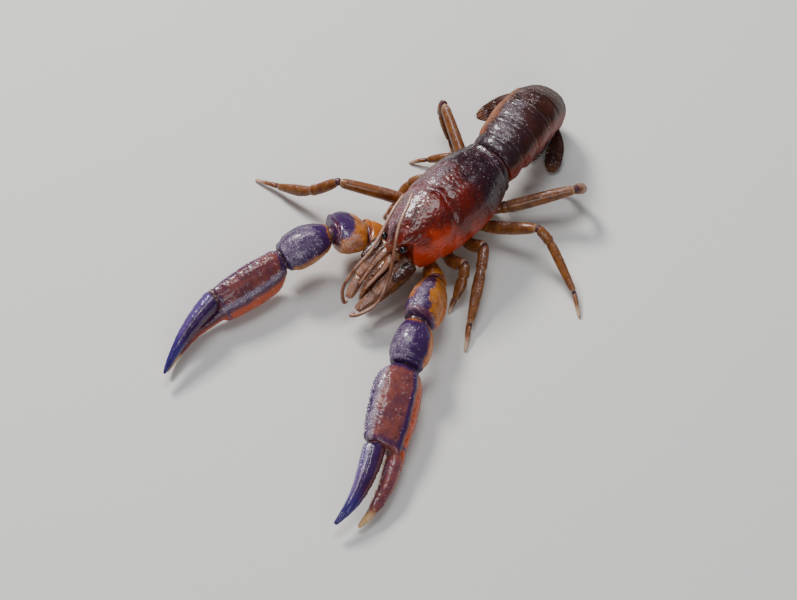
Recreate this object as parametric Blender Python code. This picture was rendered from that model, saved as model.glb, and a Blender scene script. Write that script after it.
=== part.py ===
"""Burrowing crayfish, a life-size still model of a small adult standing on the floor.

The head faces -Y, the animal's left is +X and +Z is up. Every length below is in
millimetres and is turned into metres when a mesh is made. Each body part is one
closed solid, lofted from rings whose sizes follow short tables, and neighbours
meet face to face across the joint gap.
"""

import math

import bmesh
import bpy
from mathutils import Vector

MM = 0.001
GAP = 0.3
FLOOR = 0.0

# Carapace: the shield over head and thorax
CARAPACE_REAR = 11.2
ROSTRUM_TIP = -14.4
CARAPACE_RINGS = 34
CARAPACE_MERIDIANS = 34
CEILING_STEPS = 6
CROWN_SHARE = 0.62
CERVICAL_GROOVE_Y = -4.6
GROOVE_DEPTH = 0.42
FACE_CENTRE = Vector((0.0, -9.4, 9.4))
WAIST_CENTRE = Vector((0.0, CARAPACE_REAR, 10.3))

# Station tables: place along the body, then sizes there
CARAPACE_STATIONS = (
    # y, half width, top, depth from top to the widest line, lower margin
    (-14.4, 1.35, 11.5, 0.9, 9.4),
    (-13.0, 2.35, 12.6, 1.9, 8.2),
    (-11.2, 3.8, 13.8, 3.5, 6.5),
    (-9.0, 4.9, 14.6, 4.8, 6.0),
    (-6.0, 5.85, 15.2, 5.8, 5.7),
    (-2.0, 6.45, 15.75, 6.3, 5.3),
    (3.0, 6.5, 15.9, 6.4, 5.2),
    (7.5, 5.85, 15.4, 6.1, 5.5),
    (11.2, 4.55, 14.4, 5.2, 6.6),
)

# Sternum: the underside between the legs
STERNUM_HALF_WIDTH = 2.9
STERNUM_BELLY = 2.3

# Abdomen: centre line as it arches back and curls under, bent to the animal's right
ABDOMEN_LINE = (
    Vector((-0.2, 11.6, 10.0)),
    Vector((-0.6, 14.4, 10.3)),
    Vector((-1.4, 18.1, 10.5)),
    Vector((-2.2, 21.8, 10.1)),
    Vector((-3.0, 25.3, 8.8)),
    Vector((-3.6, 27.6, 6.5)),
    Vector((-3.9, 27.8, 4.1)),
)
ABDOMEN_HALF_WIDTHS = (4.35, 4.85, 5.2, 5.2, 4.9, 4.3)
ABDOMEN_TERGUM = 4.0
ABDOMEN_STERNUM = 2.3
PLEURA_DROP = (1.0, 2.0, 2.1, 2.0, 1.7, 0.9)
ABDOMEN_ARCH_POINTS = 13

# Tail fan
TELSON_LENGTH = 5.3
INNER_UROPOD_LENGTH = 5.6
FAN_THICKNESS = 0.9
FAN_ROOT = Vector((-4.4, 26.5, 2.9))
# Side, sign, spread of the inner and outer plates, offset and length of the outer one
FAN_SIDES = (
    ("left", 1.0, 0.22, 0.68, 1.95, 6.6),
    ("right", -1.0, 0.1, 0.34, 2.45, 8.0),
)

# Start of the short stem that carries each outer plate, under the last tail segment
FAN_STEMS = {
    "left": Vector((-0.7, 28.7, 3.2)),
    "right": Vector((-7.5, 29.9, 3.7)),
}
FAN_STEM_HALF_WIDTH = 0.5

# Claws
PALM_SIDES = 16
PALM_RINGS = 19
FINGER_RINGS = 17
FINGER_SIDES = 12
TUBERCLE_RISE = 0.34
TOOTH_RISE = 0.3

# Walking legs
LEG_SIDES = 8


def reset_scene():
    """Remove what the file opened with."""
    for item in list(bpy.data.objects):
        bpy.data.objects.remove(item, do_unlink=True)


def make_material(name, colour, roughness):
    """Make a Principled material of one colour."""
    material = bpy.data.materials.new(name)
    material.use_nodes = True
    shader = material.node_tree.nodes["Principled BSDF"]
    shader.inputs["Base Color"].default_value = (*colour, 1.0)
    shader.inputs["Roughness"].default_value = roughness
    shader.inputs["Metallic"].default_value = 0.0
    return material


def profile(table, place):
    """Read the sizes at a place from a station table, along a smooth curve."""
    rows = sorted(table, key=lambda row: row[0])
    if place <= rows[0][0]:
        return rows[0][1:]
    if place >= rows[-1][0]:
        return rows[-1][1:]
    index = max(i for i, row in enumerate(rows) if row[0] <= place)
    first, last = rows[index], rows[index + 1]
    before = rows[max(index - 1, 0)]
    after = rows[min(index + 2, len(rows) - 1)]
    span = last[0] - first[0]
    u = (place - first[0]) / span
    values = []
    for column in range(1, len(first)):
        step = last[column] - first[column]
        slope_in = limited_slope(before, first, last, column, span, step)
        slope_out = limited_slope(first, last, after, column, span, step)
        values.append(
            first[column]
            + slope_in * (u ** 3 - 2 * u ** 2 + u)
            + step * (3 * u ** 2 - 2 * u ** 3)
            + slope_out * (u ** 3 - u ** 2)
        )
    return tuple(values)


def limited_slope(before, here, after, column, span, step):
    """Slope of a table column at one row, kept from overshooting."""
    reach = after[0] - before[0]
    if reach <= 0 or before is here or after is here:
        return step
    slope = (after[column] - before[column]) / reach * span
    turn = (here[column] - before[column]) * (after[column] - here[column])
    if turn <= 0:
        return 0.0
    limit = 3 * abs(step) + 1e-9
    return max(-limit, min(limit, slope))


def along(points, share):
    """Point at a share of a smooth curve through a list of points."""
    table = [(i / (len(points) - 1), *p) for i, p in enumerate(points)]
    return Vector(profile_curve(table, share))


def profile_curve(table, place):
    """Catmull-Rom reading of an evenly spaced table."""
    count = len(table) - 1
    scaled = min(max(place, 0.0), 1.0) * count
    index = min(int(scaled), count - 1)
    u = scaled - index
    p1 = Vector(table[index][1:])
    p2 = Vector(table[index + 1][1:])
    p0 = Vector(table[index - 1][1:]) if index else p1 + (p1 - p2)
    p3 = Vector(table[index + 2][1:]) if index + 2 <= count else p2 + (p2 - p1)
    return 0.5 * (
        2 * p1
        + (p2 - p0) * u
        + (2 * p0 - 5 * p1 + 4 * p2 - p3) * u ** 2
        + (3 * p1 - p0 - 3 * p2 + p3) * u ** 3
    )


def tangent_at(points, share):
    """Direction of a smooth curve at a share of its run."""
    step = 0.01
    ahead = along(points, min(share + step, 1.0))
    behind = along(points, max(share - step, 0.0))
    return (ahead - behind).normalized()


def ellipse_point(angle, half_width, half_height, power):
    """Point of a superellipse at an angle from the +side axis."""
    c, s = math.cos(angle), math.sin(angle)
    return (
        half_width * math.copysign(abs(c) ** (2 / power), c),
        half_height * math.copysign(abs(s) ** (2 / power), s),
    )


def closed_mesh(name, rings, material, start_point=None, end_point=None):
    """Skin a run of closed rings, close both ends and add the object to the scene."""
    mesh = bmesh.new()
    rows = []
    for ring in rings:
        rows.append([mesh.verts.new((p.x, p.y, max(p.z, FLOOR))) for p in ring])
    for row, following in zip(rows, rows[1:]):
        count = len(row)
        for i in range(count):
            j = (i + 1) % count
            mesh.faces.new((row[i], row[j], following[j], following[i]))
    close_end(mesh, rows[0], start_point)
    close_end(mesh, rows[-1], end_point)
    bmesh.ops.recalc_face_normals(mesh, faces=mesh.faces)
    bmesh.ops.triangulate(mesh, faces=mesh.faces, quad_method="SHORT_EDGE")
    bmesh.ops.scale(mesh, vec=(MM, MM, MM), verts=mesh.verts)
    return add_object(name, mesh, material)


def close_end(mesh, row, point):
    """Fan one end of a loft to a point, by default the middle of its ring."""
    if point is None:
        point = sum((v.co for v in row), Vector()) / len(row)
    tip = mesh.verts.new((point.x, point.y, max(point.z, FLOOR)))
    for i, vert in enumerate(row):
        mesh.faces.new((vert, row[(i + 1) % len(row)], tip))


def add_object(name, mesh, material):
    """Turn a bmesh into a smooth-shaded object."""
    data = bpy.data.meshes.new(name)
    mesh.to_mesh(data)
    mesh.free()
    data.materials.append(material)
    data.shade_smooth()
    data.set_sharp_from_angle(angle=math.radians(50))
    item = bpy.data.objects.new(name, data)
    bpy.context.scene.collection.objects.link(item)
    return item


def sheared_ring(centre, axis, side, up, outline, plane):
    """Ring of an outline round a centre, slid along the axis onto a cutting plane."""
    ring = []
    for across, height in outline:
        offset = side * across + up * height
        slide = offset.dot(plane) / axis.dot(plane)
        ring.append(centre + offset - axis * slide)
    return ring


def sweep(name, path, stations, up, material, sides=LEG_SIDES, rings=8, power=2.2,
          start_plane=None, end_plane=None, reach=0.35, free_tip=False, shape=None):
    """Loft a limb part along a curved path.

    stations: rows of share, half width, half height. The two planes are the joint
    faces, and half the joint gap is left before each. shape may add to a point's
    height: it is called with the share and the angle.
    """
    first = start_plane or tangent_at(path, 0.0)
    last = end_plane or tangent_at(path, 1.0)
    length = sum((b - a).length for a, b in zip(path, path[1:]))
    inset = GAP / 2 / length
    low = inset / max(first.dot(tangent_at(path, 0.0)), 0.3)
    high = 1.0 - (0.0 if free_tip else inset / max(last.dot(tangent_at(path, 1.0)), 0.3))
    loops = []
    for i in range(rings):
        share = low + (high - low) * i / (rings - 1)
        axis = tangent_at(path, share)
        near_start = max(0.0, 1.0 - share / reach)
        near_end = 0.0 if free_tip else max(0.0, 1.0 - (1.0 - share) / reach)
        plane = axis * max(0.0, 1.0 - near_start - near_end)
        plane = (plane + first * near_start + last * near_end).normalized()
        lift = (up - axis * up.dot(axis)).normalized()
        side = axis.cross(lift)
        half_width, half_height = profile(stations, share)
        outline = []
        for k in range(sides):
            angle = 2 * math.pi * k / sides
            across, height = ellipse_point(angle, half_width, half_height, power)
            if shape:
                height += shape(share, angle)
            outline.append((across, height))
        loops.append(sheared_ring(along(path, share), axis, side, lift, outline, plane))
    tip = along(path, 1.0) + tangent_at(path, 1.0) * 0.12 if free_tip else None
    return closed_mesh(name, loops, material, end_point=tip)


def joint_plane(before, joint, after):
    """Plane that halves the bend at a joint."""
    return ((joint - before).normalized() + (after - joint).normalized()).normalized()


def front_margin(share):
    """Y of the carapace's front edge, by share from the crest (0) to the lower margin (1)."""
    return profile((
        (0.0, ROSTRUM_TIP),
        (0.10, ROSTRUM_TIP + 0.9),
        (0.20, -12.0),
        (0.30, -10.9),
        (0.42, -11.3),
        (0.60, -11.5),
        (0.80, -11.4),
        (1.0, -10.2),
    ), share)[0]


def groove(distance, width):
    """Depth share of a groove at a distance from its middle."""
    return math.exp(-((distance / width) ** 2))


def carapace_relief(y, share, side):
    """How far the shell is sunk or raised at a place, in millimetres."""
    cervical = CERVICAL_GROOVE_Y + 3.4 * (1 - share) ** 1.6 - 4.4 * max(share - 0.55, 0.0)
    depth = GROOVE_DEPTH * groove(y - cervical, 0.75) * (1.0 - 0.45 * share)
    behind = max(0.0, min(1.0, (y - cervical - 0.5) / 2.0))
    areola = 0.24 * groove(abs(side) - 1.5, 0.55) * behind * min(1.0, (11.5 - y) / 2.0)
    orbit = 0.3 * groove(share - 0.27, 0.05) * max(0.0, min(1.0, (-8.6 - y) / 2.0))
    carina = 0.3 * groove(share - 0.17, 0.05) * max(0.0, min(1.0, (-8.0 - y) / 2.5))
    return carina - depth - areola - orbit


def carapace_point(y, share, sign):
    """Point on the shell at a place along the body and a share of its half girth."""
    half_width, top, rise, margin = profile(CARAPACE_STATIONS, y)
    middle = top - rise
    if share < CROWN_SHARE:
        angle = math.pi / 2 * (1.0 - share / CROWN_SHARE)
        across, height = ellipse_point(angle, half_width, rise, 2.35)
        across, height = abs(across), abs(height)
    else:
        drop = (share - CROWN_SHARE) / (1.0 - CROWN_SHARE)
        across = half_width * (1.0 - 0.2 * drop ** 2)
        height = -(middle - margin) * drop
    relief = carapace_relief(y, share, across)
    length = math.hypot(across / half_width, height / rise) or 1.0
    across += relief * across / half_width / length
    height += relief * height / rise / length
    bend = -0.35 * max(0.0, (y - 3.0) / 8.2) ** 1.5
    return Vector((sign * across + bend, y, middle + height))


def build_carapace(material):
    """Shield over head and thorax: crest, cervical groove, rostrum and open-fronted face."""
    rings = []
    half = CARAPACE_MERIDIANS // 2
    shares = [(i / half, 1.0) for i in range(half, 0, -1)]
    shares += [(0.0, 1.0)] + [(i / half, -1.0) for i in range(1, half + 1)]
    for station in range(CARAPACE_RINGS):
        along_body = station / (CARAPACE_RINGS - 1)
        ring = []
        for share, sign in shares:
            front = front_margin(share)
            y = CARAPACE_REAR + (front - CARAPACE_REAR) * along_body
            ring.append(carapace_point(y, share, sign))
        right, left = ring[-1], ring[0]
        for step in range(1, CEILING_STEPS):
            u = step / CEILING_STEPS
            across = right.lerp(left, u)
            arch = 0.45 * min(1.0, 4 * min(u, 1.0 - u))
            ring.append(Vector((across.x * 0.92, across.y, across.z + arch)))
        rings.append(ring)
    face = rings[-1]
    inset = []
    for point in face:
        inner = point.lerp(FACE_CENTRE, 0.16)
        inner.y = point.y + 0.45
        if point.y < -11.4:
            inner = Vector((point.x * 0.8, point.y + 0.35, point.z - 0.65))
        inset.append(inner)
    rings.append(inset)
    deep = []
    for point in inset:
        inner = point.lerp(FACE_CENTRE, 0.55)
        inner.y = -10.0
        deep.append(inner)
    rings.append(deep)
    rear = rings[0]
    hollow = [p.lerp(WAIST_CENTRE, 0.12) for p in rear]
    rings.insert(0, hollow)
    return closed_mesh("carapace", rings, material,
                       start_point=WAIST_CENTRE,
                       end_point=FACE_CENTRE + Vector((0.0, -0.5, 0.0)))


def ceiling_height(y):
    """Lowest height of the carapace's underside at a place along the body."""
    return profile(CARAPACE_STATIONS, y)[3]


def build_sternum(material):
    """Underside plate between the legs, from the mouth to the waist."""
    rings = []
    count = 14
    for i in range(count):
        y = -8.9 + (10.6 + 8.9) * i / (count - 1)
        taper = min(1.0, 0.55 + 0.12 * i, 0.7 + 0.12 * (count - 1 - i))
        top = min(ceiling_height(y), 6.3) - GAP
        half_width = STERNUM_HALF_WIDTH * taper
        belly = STERNUM_BELLY + 0.25 * (i % 2)
        ring = []
        for k in range(12):
            across, height = ellipse_point(2 * math.pi * k / 12, half_width,
                                           (top - belly) / 2, 3.2)
            ring.append(Vector((across, y, (top + belly) / 2 + height)))
        rings.append(ring)
    return closed_mesh("thorax_underside", rings, material)


def abdomen_outline(half_width, drop, swell, bulge):
    """Outline of one tail segment: arched back, pleura hanging at each side, flat belly."""
    outline = []
    for i in range(ABDOMEN_ARCH_POINTS):
        angle = math.pi * i / (ABDOMEN_ARCH_POINTS - 1)
        across, height = ellipse_point(angle, half_width * swell, ABDOMEN_TERGUM * swell, 2.2)
        outline.append((across, height + bulge))
    edge = half_width * swell
    belly = -ABDOMEN_STERNUM * swell
    for across, height in (
        (-edge * 0.98, -drop * 0.6),
        (-edge * 0.86, belly - drop * 0.5),
        (-edge * 0.68, belly),
        (-edge * 0.34, belly - 0.15),
        (0.0, belly - 0.25),
        (edge * 0.34, belly - 0.15),
        (edge * 0.68, belly),
        (edge * 0.86, belly - drop * 0.5),
        (edge * 0.98, -drop * 0.6),
    ):
        outline.append((across, height))
    return outline


def build_abdomen(material):
    """Six tail segments, each swollen behind its front edge, with joint faces between."""
    made = []
    for index in range(6):
        start, end = ABDOMEN_LINE[index], ABDOMEN_LINE[index + 1]
        before = ABDOMEN_LINE[index - 1] if index else start - (end - start)
        after = ABDOMEN_LINE[index + 2] if index < 5 else end + (end - start)
        first = joint_plane(before, start, end) if index else Vector((0.0, 1.0, 0.0))
        last = joint_plane(start, end, after)
        axis = (end - start).normalized()
        side = Vector((-1.0, -0.24, 0.0))
        side = (side - axis * side.dot(axis)).normalized()
        lift = axis.cross(side)
        half_width = ABDOMEN_HALF_WIDTHS[index]
        following = ABDOMEN_HALF_WIDTHS[min(index + 1, 5)]
        rings = []
        for share, swell, bulge in ((0.0, 0.93, 0.0), (0.12, 0.985, 0.0), (0.4, 1.0, 0.05),
                                    (0.75, 1.01, 0.08), (0.93, 1.0, 0.04), (1.0, 0.965, 0.0)):
            plane = first.lerp(last, share).normalized()
            clear = GAP / 2 * (1.0 - 2.0 * share)
            centre = start.lerp(end, share) + axis * clear / max(plane.dot(axis), 0.5)
            width = half_width + (following - half_width) * share * 0.6
            fullness = math.sin(math.pi * min(max(share, 0.05), 0.95))
            drop = PLEURA_DROP[index] * fullness
            outline = abdomen_outline(width, drop, swell, bulge)
            rings.append(sheared_ring(centre, axis, -side, lift, outline, plane))
        made.append(closed_mesh(f"abdomen_{index + 1}", rings, material))
    return made


def fan_plate(name, root, tip, half_widths, facing, material, thickness=FAN_THICKNESS,
              ridge=0.25, stem=None):
    """Leaf-shaped plate of the tail fan, with a low ridge and, if given, a short stem."""
    axis = (tip - root).normalized()
    lift = (facing - axis * facing.dot(axis)).normalized()
    side = axis.cross(lift)
    rings = []
    if stem is not None:
        run = (root - stem).normalized()
        rise = (facing - run * facing.dot(run)).normalized()
        breadth = run.cross(rise)
        for share in (0.0, 0.5):
            centre = stem.lerp(root, share)
            outline = []
            for u in (-1.0, -0.55, 0.0, 0.55, 1.0):
                outline.append((u * FAN_STEM_HALF_WIDTH, thickness * 0.4 * (1.0 - 0.4 * abs(u))))
            for u in (1.0, 0.55, 0.0, -0.55, -1.0):
                outline.append((u * FAN_STEM_HALF_WIDTH, -thickness * 0.4 * (1.0 - 0.4 * abs(u))))
            rings.append([centre + breadth * a + rise * h for a, h in outline])
    steps = 7
    for i in range(steps):
        share = i / (steps - 1) * 0.97
        half_width = profile(half_widths, share)[0]
        half_thick = thickness / 2 * (1.0 - 0.35 * share)
        outline = []
        for u in (-1.0, -0.55, 0.0, 0.55, 1.0):
            crown = ridge * max(0.0, 1.0 - abs(u) / 0.5)
            edge = half_thick * (0.45 if abs(u) == 1.0 else 1.0)
            outline.append((u * half_width, edge + crown))
        for u in (1.0, 0.55, 0.0, -0.55, -1.0):
            edge = half_thick * (0.45 if abs(u) == 1.0 else 1.0)
            outline.append((u * half_width, -edge))
        centre = root.lerp(tip, share)
        rings.append([centre + side * a + lift * h for a, h in outline])
    return closed_mesh(name, rings, material, end_point=tip)


def build_tail_fan(material):
    """Telson and its two pairs of uropods, curled forward under the tail onto the floor."""
    heading = Vector((-0.10, -0.86, -0.48)).normalized()
    facing = Vector((0.0, -0.48, 0.86))
    across = Vector((1.0, -0.12, 0.0)).normalized()
    root = FAN_ROOT
    made = [fan_plate("telson", root, root + heading * TELSON_LENGTH,
                      ((0.0, 1.9), (0.35, 2.5), (0.75, 2.1), (1.0, 0.9)), facing, material)]
    for side_name, sign, inner_spread, outer_spread, offset, length in FAN_SIDES:
        inner_root = root + across * sign * 3.35 + Vector((0.0, 1.0, 0.1))
        inner_heading = (heading + across * sign * inner_spread).normalized()
        made.append(fan_plate(f"uropod_{side_name}_inner", inner_root,
                              inner_root + inner_heading * INNER_UROPOD_LENGTH,
                              ((0.0, 0.7), (0.4, 1.25), (0.8, 1.15), (1.0, 0.5)),
                              facing, material))
        outer_root = inner_root + across * sign * offset + Vector((0.0, 0.85, 0.2))
        outer_heading = (heading + across * sign * outer_spread).normalized()
        made.append(fan_plate(f"uropod_{side_name}_outer", outer_root,
                              outer_root + outer_heading * length,
                              ((0.0, 0.75), (0.4, 1.6), (0.8, 1.5), (1.0, 0.6)),
                              facing, material, stem=FAN_STEMS[side_name]))
    return made


def build_eye(side_name, sign, material):
    """Short stalk with a small round cornea, set in the orbit beside the rostrum."""
    root = Vector((sign * 1.75, -11.45, 11.7))
    globe = Vector((sign * 2.1, -12.25, 12.35))
    path = [root, root.lerp(globe, 0.5), globe + (globe - root).normalized() * 0.62]
    stations = ((0.0, 0.42, 0.42), (0.35, 0.44, 0.44), (0.55, 0.62, 0.62),
                (0.75, 0.64, 0.64), (0.92, 0.4, 0.4), (1.0, 0.2, 0.2))
    return sweep(f"eye_{side_name}", path, stations, Vector((0, 0, 1)), material,
                 sides=10, rings=9, power=2.0, free_tip=True)


HEAD_PARTS = {
    "left": {
        "antenna_base": (Vector((2.35, -11.2, 8.6)), Vector((2.25, -14.4, 7.7)),
                         Vector((1.8, -18.4, 6.0)), Vector((0.95, -22.4, 4.2))),
        "antenna": (Vector((0.88, -22.75, 4.0)), Vector((1.0, -23.5, 3.95)),
                    Vector((2.1, -22.6, 4.6)), Vector((3.25, -19.4, 5.9)),
                    Vector((2.45, -16.0, 9.7)), Vector((1.9, -14.5, 12.2)),
                    Vector((0.8, -12.7, 14.9)), Vector((-0.3, -10.5, 16.2)),
                    Vector((-1.4, -7.6, 16.7)), Vector((-2.6, -5.2, 16.7))),
        "antennule": (Vector((0.75, -12.1, 10.2)), Vector((0.85, -14.2, 9.8)),
                      Vector((0.8, -16.4, 8.8)), Vector((0.35, -19.8, 7.0))),
        "antenna_scale": (Vector((3.8, -12.0, 9.6)), Vector((3.5, -16.4, 8.8))),
        "maxilliped": (Vector((1.5, -9.3, 4.2)), Vector((1.75, -12.6, 4.0)),
                       Vector((1.45, -16.6, 3.3)), Vector((0.9, -19.9, 2.3))),
    },
    "right": {
        "antenna_base": (Vector((-2.35, -11.3, 8.6)), Vector((-2.35, -14.3, 8.1)),
                         Vector((-2.15, -18.0, 6.7)), Vector((-1.45, -21.9, 4.8))),
        "antenna": (Vector((-1.38, -22.25, 4.65)), Vector((-1.5, -22.9, 4.9)),
                    Vector((-2.4, -22.0, 7.3)), Vector((-2.1, -19.3, 10.2)),
                    Vector((-1.5, -16.4, 12.6)), Vector((-1.9, -13.2, 14.6)),
                    Vector((-2.9, -9.6, 15.9)), Vector((-3.7, -6.2, 16.1))),
        "antennule": (Vector((-0.75, -12.1, 10.2)), Vector((-0.9, -14.2, 9.8)),
                      Vector((-1.0, -16.4, 8.9)), Vector((-0.9, -19.7, 7.3))),
        "antenna_scale": (Vector((-3.4, -12.0, 10.0)), Vector((-3.4, -16.6, 9.2))),
        "maxilliped": (Vector((-1.5, -9.3, 4.2)), Vector((-1.75, -12.6, 4.0)),
                       Vector((-1.5, -16.4, 3.3)), Vector((-1.1, -19.4, 2.3))),
    },
}


def build_head_parts(side_name, materials):
    """Antennae with their stout bases and scales, antennules and outer mouth limbs."""
    up = Vector((0, 0, 1))
    parts = HEAD_PARTS[side_name]
    base = parts["antenna_base"]
    made = [sweep(f"antenna_base_{side_name}", base,
                  ((0.0, 1.15, 1.05), (0.28, 1.2, 1.1), (0.34, 0.95, 0.9), (0.4, 1.08, 1.0),
                   (0.66, 0.92, 0.9), (0.71, 0.75, 0.72), (0.77, 0.86, 0.82),
                   (1.0, 0.6, 0.58)),
                  up, materials["feeler"], sides=10, rings=15)]
    made.append(sweep(f"antenna_{side_name}", parts["antenna"],
                      ((0.0, 0.42, 0.42), (0.2, 0.33, 0.33), (0.9, 0.25, 0.25),
                       (1.0, 0.16, 0.16)),
                      Vector((0.3, 0.1, 1.0)), materials["feeler"], sides=6, rings=24,
                      free_tip=True))
    made.append(sweep(f"antennule_{side_name}", parts["antennule"],
                      ((0.0, 0.62, 0.55), (0.3, 0.6, 0.55), (0.45, 0.5, 0.45),
                       (0.6, 0.32, 0.3), (1.0, 0.16, 0.16)),
                      up, materials["feeler"], sides=8, rings=9, free_tip=True))
    root, tip = parts["antenna_scale"]
    made.append(fan_plate(f"antenna_scale_{side_name}", root, tip,
                          ((0.0, 0.55), (0.25, 1.0), (0.7, 0.85), (1.0, 0.2)),
                          Vector((0.35 if side_name == "left" else -0.35, 0.0, 1.0)),
                          materials["fan"], thickness=0.7, ridge=0.2))
    made.append(sweep(f"maxilliped_{side_name}", parts["maxilliped"],
                      ((0.0, 0.95, 1.1), (0.3, 1.1, 1.25), (0.55, 0.95, 1.1),
                       (0.62, 0.75, 0.85), (0.7, 0.85, 0.9), (1.0, 0.3, 0.3)),
                      up, materials["limb"], sides=10, rings=12, free_tip=True))
    return made


# Claw skeletons: joints from the body outwards, and the lean of each part's back edge
CLAWS = {
    "left": {
        "joints": (Vector((3.3, -7.3, 3.7)), Vector((7.2, -9.8, 5.0)),
                   Vector((11.4, -18.6, 7.4)), Vector((15.3, -25.7, 6.3)),
                   Vector((22.7, -38.1, 4.4))),
        "leans": (30.0, 42.0, 55.0, 62.0),
        "inward": 1.0,
        "size": 1.05,
        "arm_width": 1.0,
        "arm_heights": {
            "base": (1.1, 1.45, 1.95, 1.6),
            "merus": (1.7, 2.75, 3.3, 3.1, 1.9),
            "carpus": (1.7, 2.5, 3.0, 3.05, 2.3),
        },
        "back_swell": 0.6,
        "belly_swell": -0.35,
    },
    "right": {
        "joints": (Vector((-3.3, -7.3, 3.7)), Vector((-7.9, -11.1, 5.5)),
                   Vector((-11.2, -15.9, 7.4)), Vector((-14.0, -24.5, 6.2)),
                   Vector((-16.4, -37.3, 4.5))),
        "leans": (78.0, 70.0, 40.0, -25.0),
        "inward": -1.0,
        "size": 0.98,
        "arm_width": 1.18,
        "arm_heights": {
            "base": (1.0, 1.8, 3.1, 3.3),
            "merus": (3.3, 4.4, 4.6, 3.9, 2.3),
            "carpus": (1.9, 2.8, 3.3, 3.2, 2.4),
        },
        "back_swell": -1.0,
        "belly_swell": 0.9,
    },
}


def claw_frame(start, end, lean, inward):
    """Axis, back-edge direction and outer-face direction of one claw part."""
    axis = (end - start).normalized()
    level_side = axis.cross(Vector((0, 0, 1))).normalized() * inward
    upright = level_side.cross(axis) * inward
    angle = math.radians(lean)
    back = upright * math.cos(angle) + level_side * math.sin(angle)
    outer = upright * math.sin(angle) - level_side * math.cos(angle)
    return axis, back, outer


def fixed_finger_track(side_name):
    """Centre of the fixed finger beyond the palm: run, height towards the back, outwards."""
    if side_name == "left":
        return ((0.0, -1.9, 0.0), (5.0, -1.7, 0.0), (9.0, -1.0, -0.5),
                (12.0, -0.1, -1.15), (13.5, 0.5, -1.8))
    return ((0.0, -1.95, 0.3), (5.0, -2.0, 0.2), (9.0, -2.4, -0.9),
            (11.6, -2.8, -2.1), (13.3, -3.2, -3.2))


def moving_finger_track(side_name):
    """Centre of the moving finger, in the palm's own frame: nearly shut on the right."""
    if side_name == "left":
        return ((0.0, 1.75, 0.0), (5.0, 2.1, 0.2), (9.0, 2.6, -0.1),
                (12.0, 3.3, -0.9), (14.4, 4.2, -2.0))
    return ((0.0, 1.6, -0.2), (5.0, 1.0, -1.5), (9.0, 0.1, -2.8),
            (12.0, -1.0, -3.9), (14.2, -1.9, -4.8))


def build_palm(side_name, material):
    """Broad palm running on into the fixed finger, with knobs along its back edge."""
    claw = CLAWS[side_name]
    start, end = claw["joints"][3], claw["joints"][4]
    size = claw["size"]
    axis, back, outer = claw_frame(start, end, claw["leans"][3], claw["inward"])
    length = (end - start).length
    first = joint_plane(claw["joints"][2], start, end)
    palm_table = (
        (0.0, 1.55, 2.1, -2.1), (0.08, 1.95, 2.9, -2.9), (0.25, 2.35, 3.75, -3.9),
        (0.55, 2.45, 3.95, -4.1), (0.8, 2.25, 3.75, -3.75), (1.0, 1.85, 3.4, -3.4),
    )
    rings = []
    for i in range(PALM_RINGS):
        share = i / (PALM_RINGS - 1)
        thick, top, bottom = (v * size for v in profile(palm_table, share))
        fullness = min(1.0, share / 0.22) * (1.0 - 0.35 * share)
        top += claw["back_swell"] * fullness
        bottom -= claw["belly_swell"] * fullness
        run = share * length
        knob = TUBERCLE_RISE if i % 2 and 0.1 < share < 0.95 else 0.0
        ring = []
        for k in range(PALM_SIDES):
            angle = 2 * math.pi * k / PALM_SIDES
            across, height = ellipse_point(angle, thick, (top - bottom) / 2, 2.3)
            if k == PALM_SIDES // 4:
                height += knob
            ring.append((across, height + (top + bottom) / 2))
        plane = first if i == 0 else axis.lerp(first, max(0.0, 1.0 - share / 0.2)).normalized()
        centre = start + axis * (max(run, GAP / 2))
        rings.append(sheared_ring(centre, axis, outer, back, ring, plane))
    finger_table = ((0.0, 1.55, 1.45), (3.0, 1.4, 1.3), (7.0, 1.15, 1.1), (10.5, 0.85, 0.85),
                    (12.8, 0.6, 0.6), (14.2, 0.3, 0.3))
    track = fixed_finger_track(side_name)
    reach = track[-1][0]
    for i in range(FINGER_RINGS):
        run = 0.35 + (reach - 0.35) * i / (FINGER_RINGS - 1)
        height_mid, out_mid = profile(track, run)
        thick, half_height = (v * size for v in profile(finger_table, run * 14.2 / reach))
        tooth = TOOTH_RISE if i % 2 and 1.5 < run < reach - 2.5 else 0.0
        ring = []
        for k in range(PALM_SIDES):
            angle = 2 * math.pi * k / PALM_SIDES
            across, height = ellipse_point(angle, thick, half_height, 2.1)
            if k == PALM_SIDES // 4:
                height += tooth
            ring.append(end + axis * run + outer * (across + out_mid)
                        + back * (height + height_mid * size))
        rings.append(ring)
    height_mid, out_mid = track[-1][1:]
    tip = end + axis * (reach + 0.25) + outer * out_mid + back * height_mid * size
    return closed_mesh(f"claw_{side_name}_palm", rings, material, end_point=tip)


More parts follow.
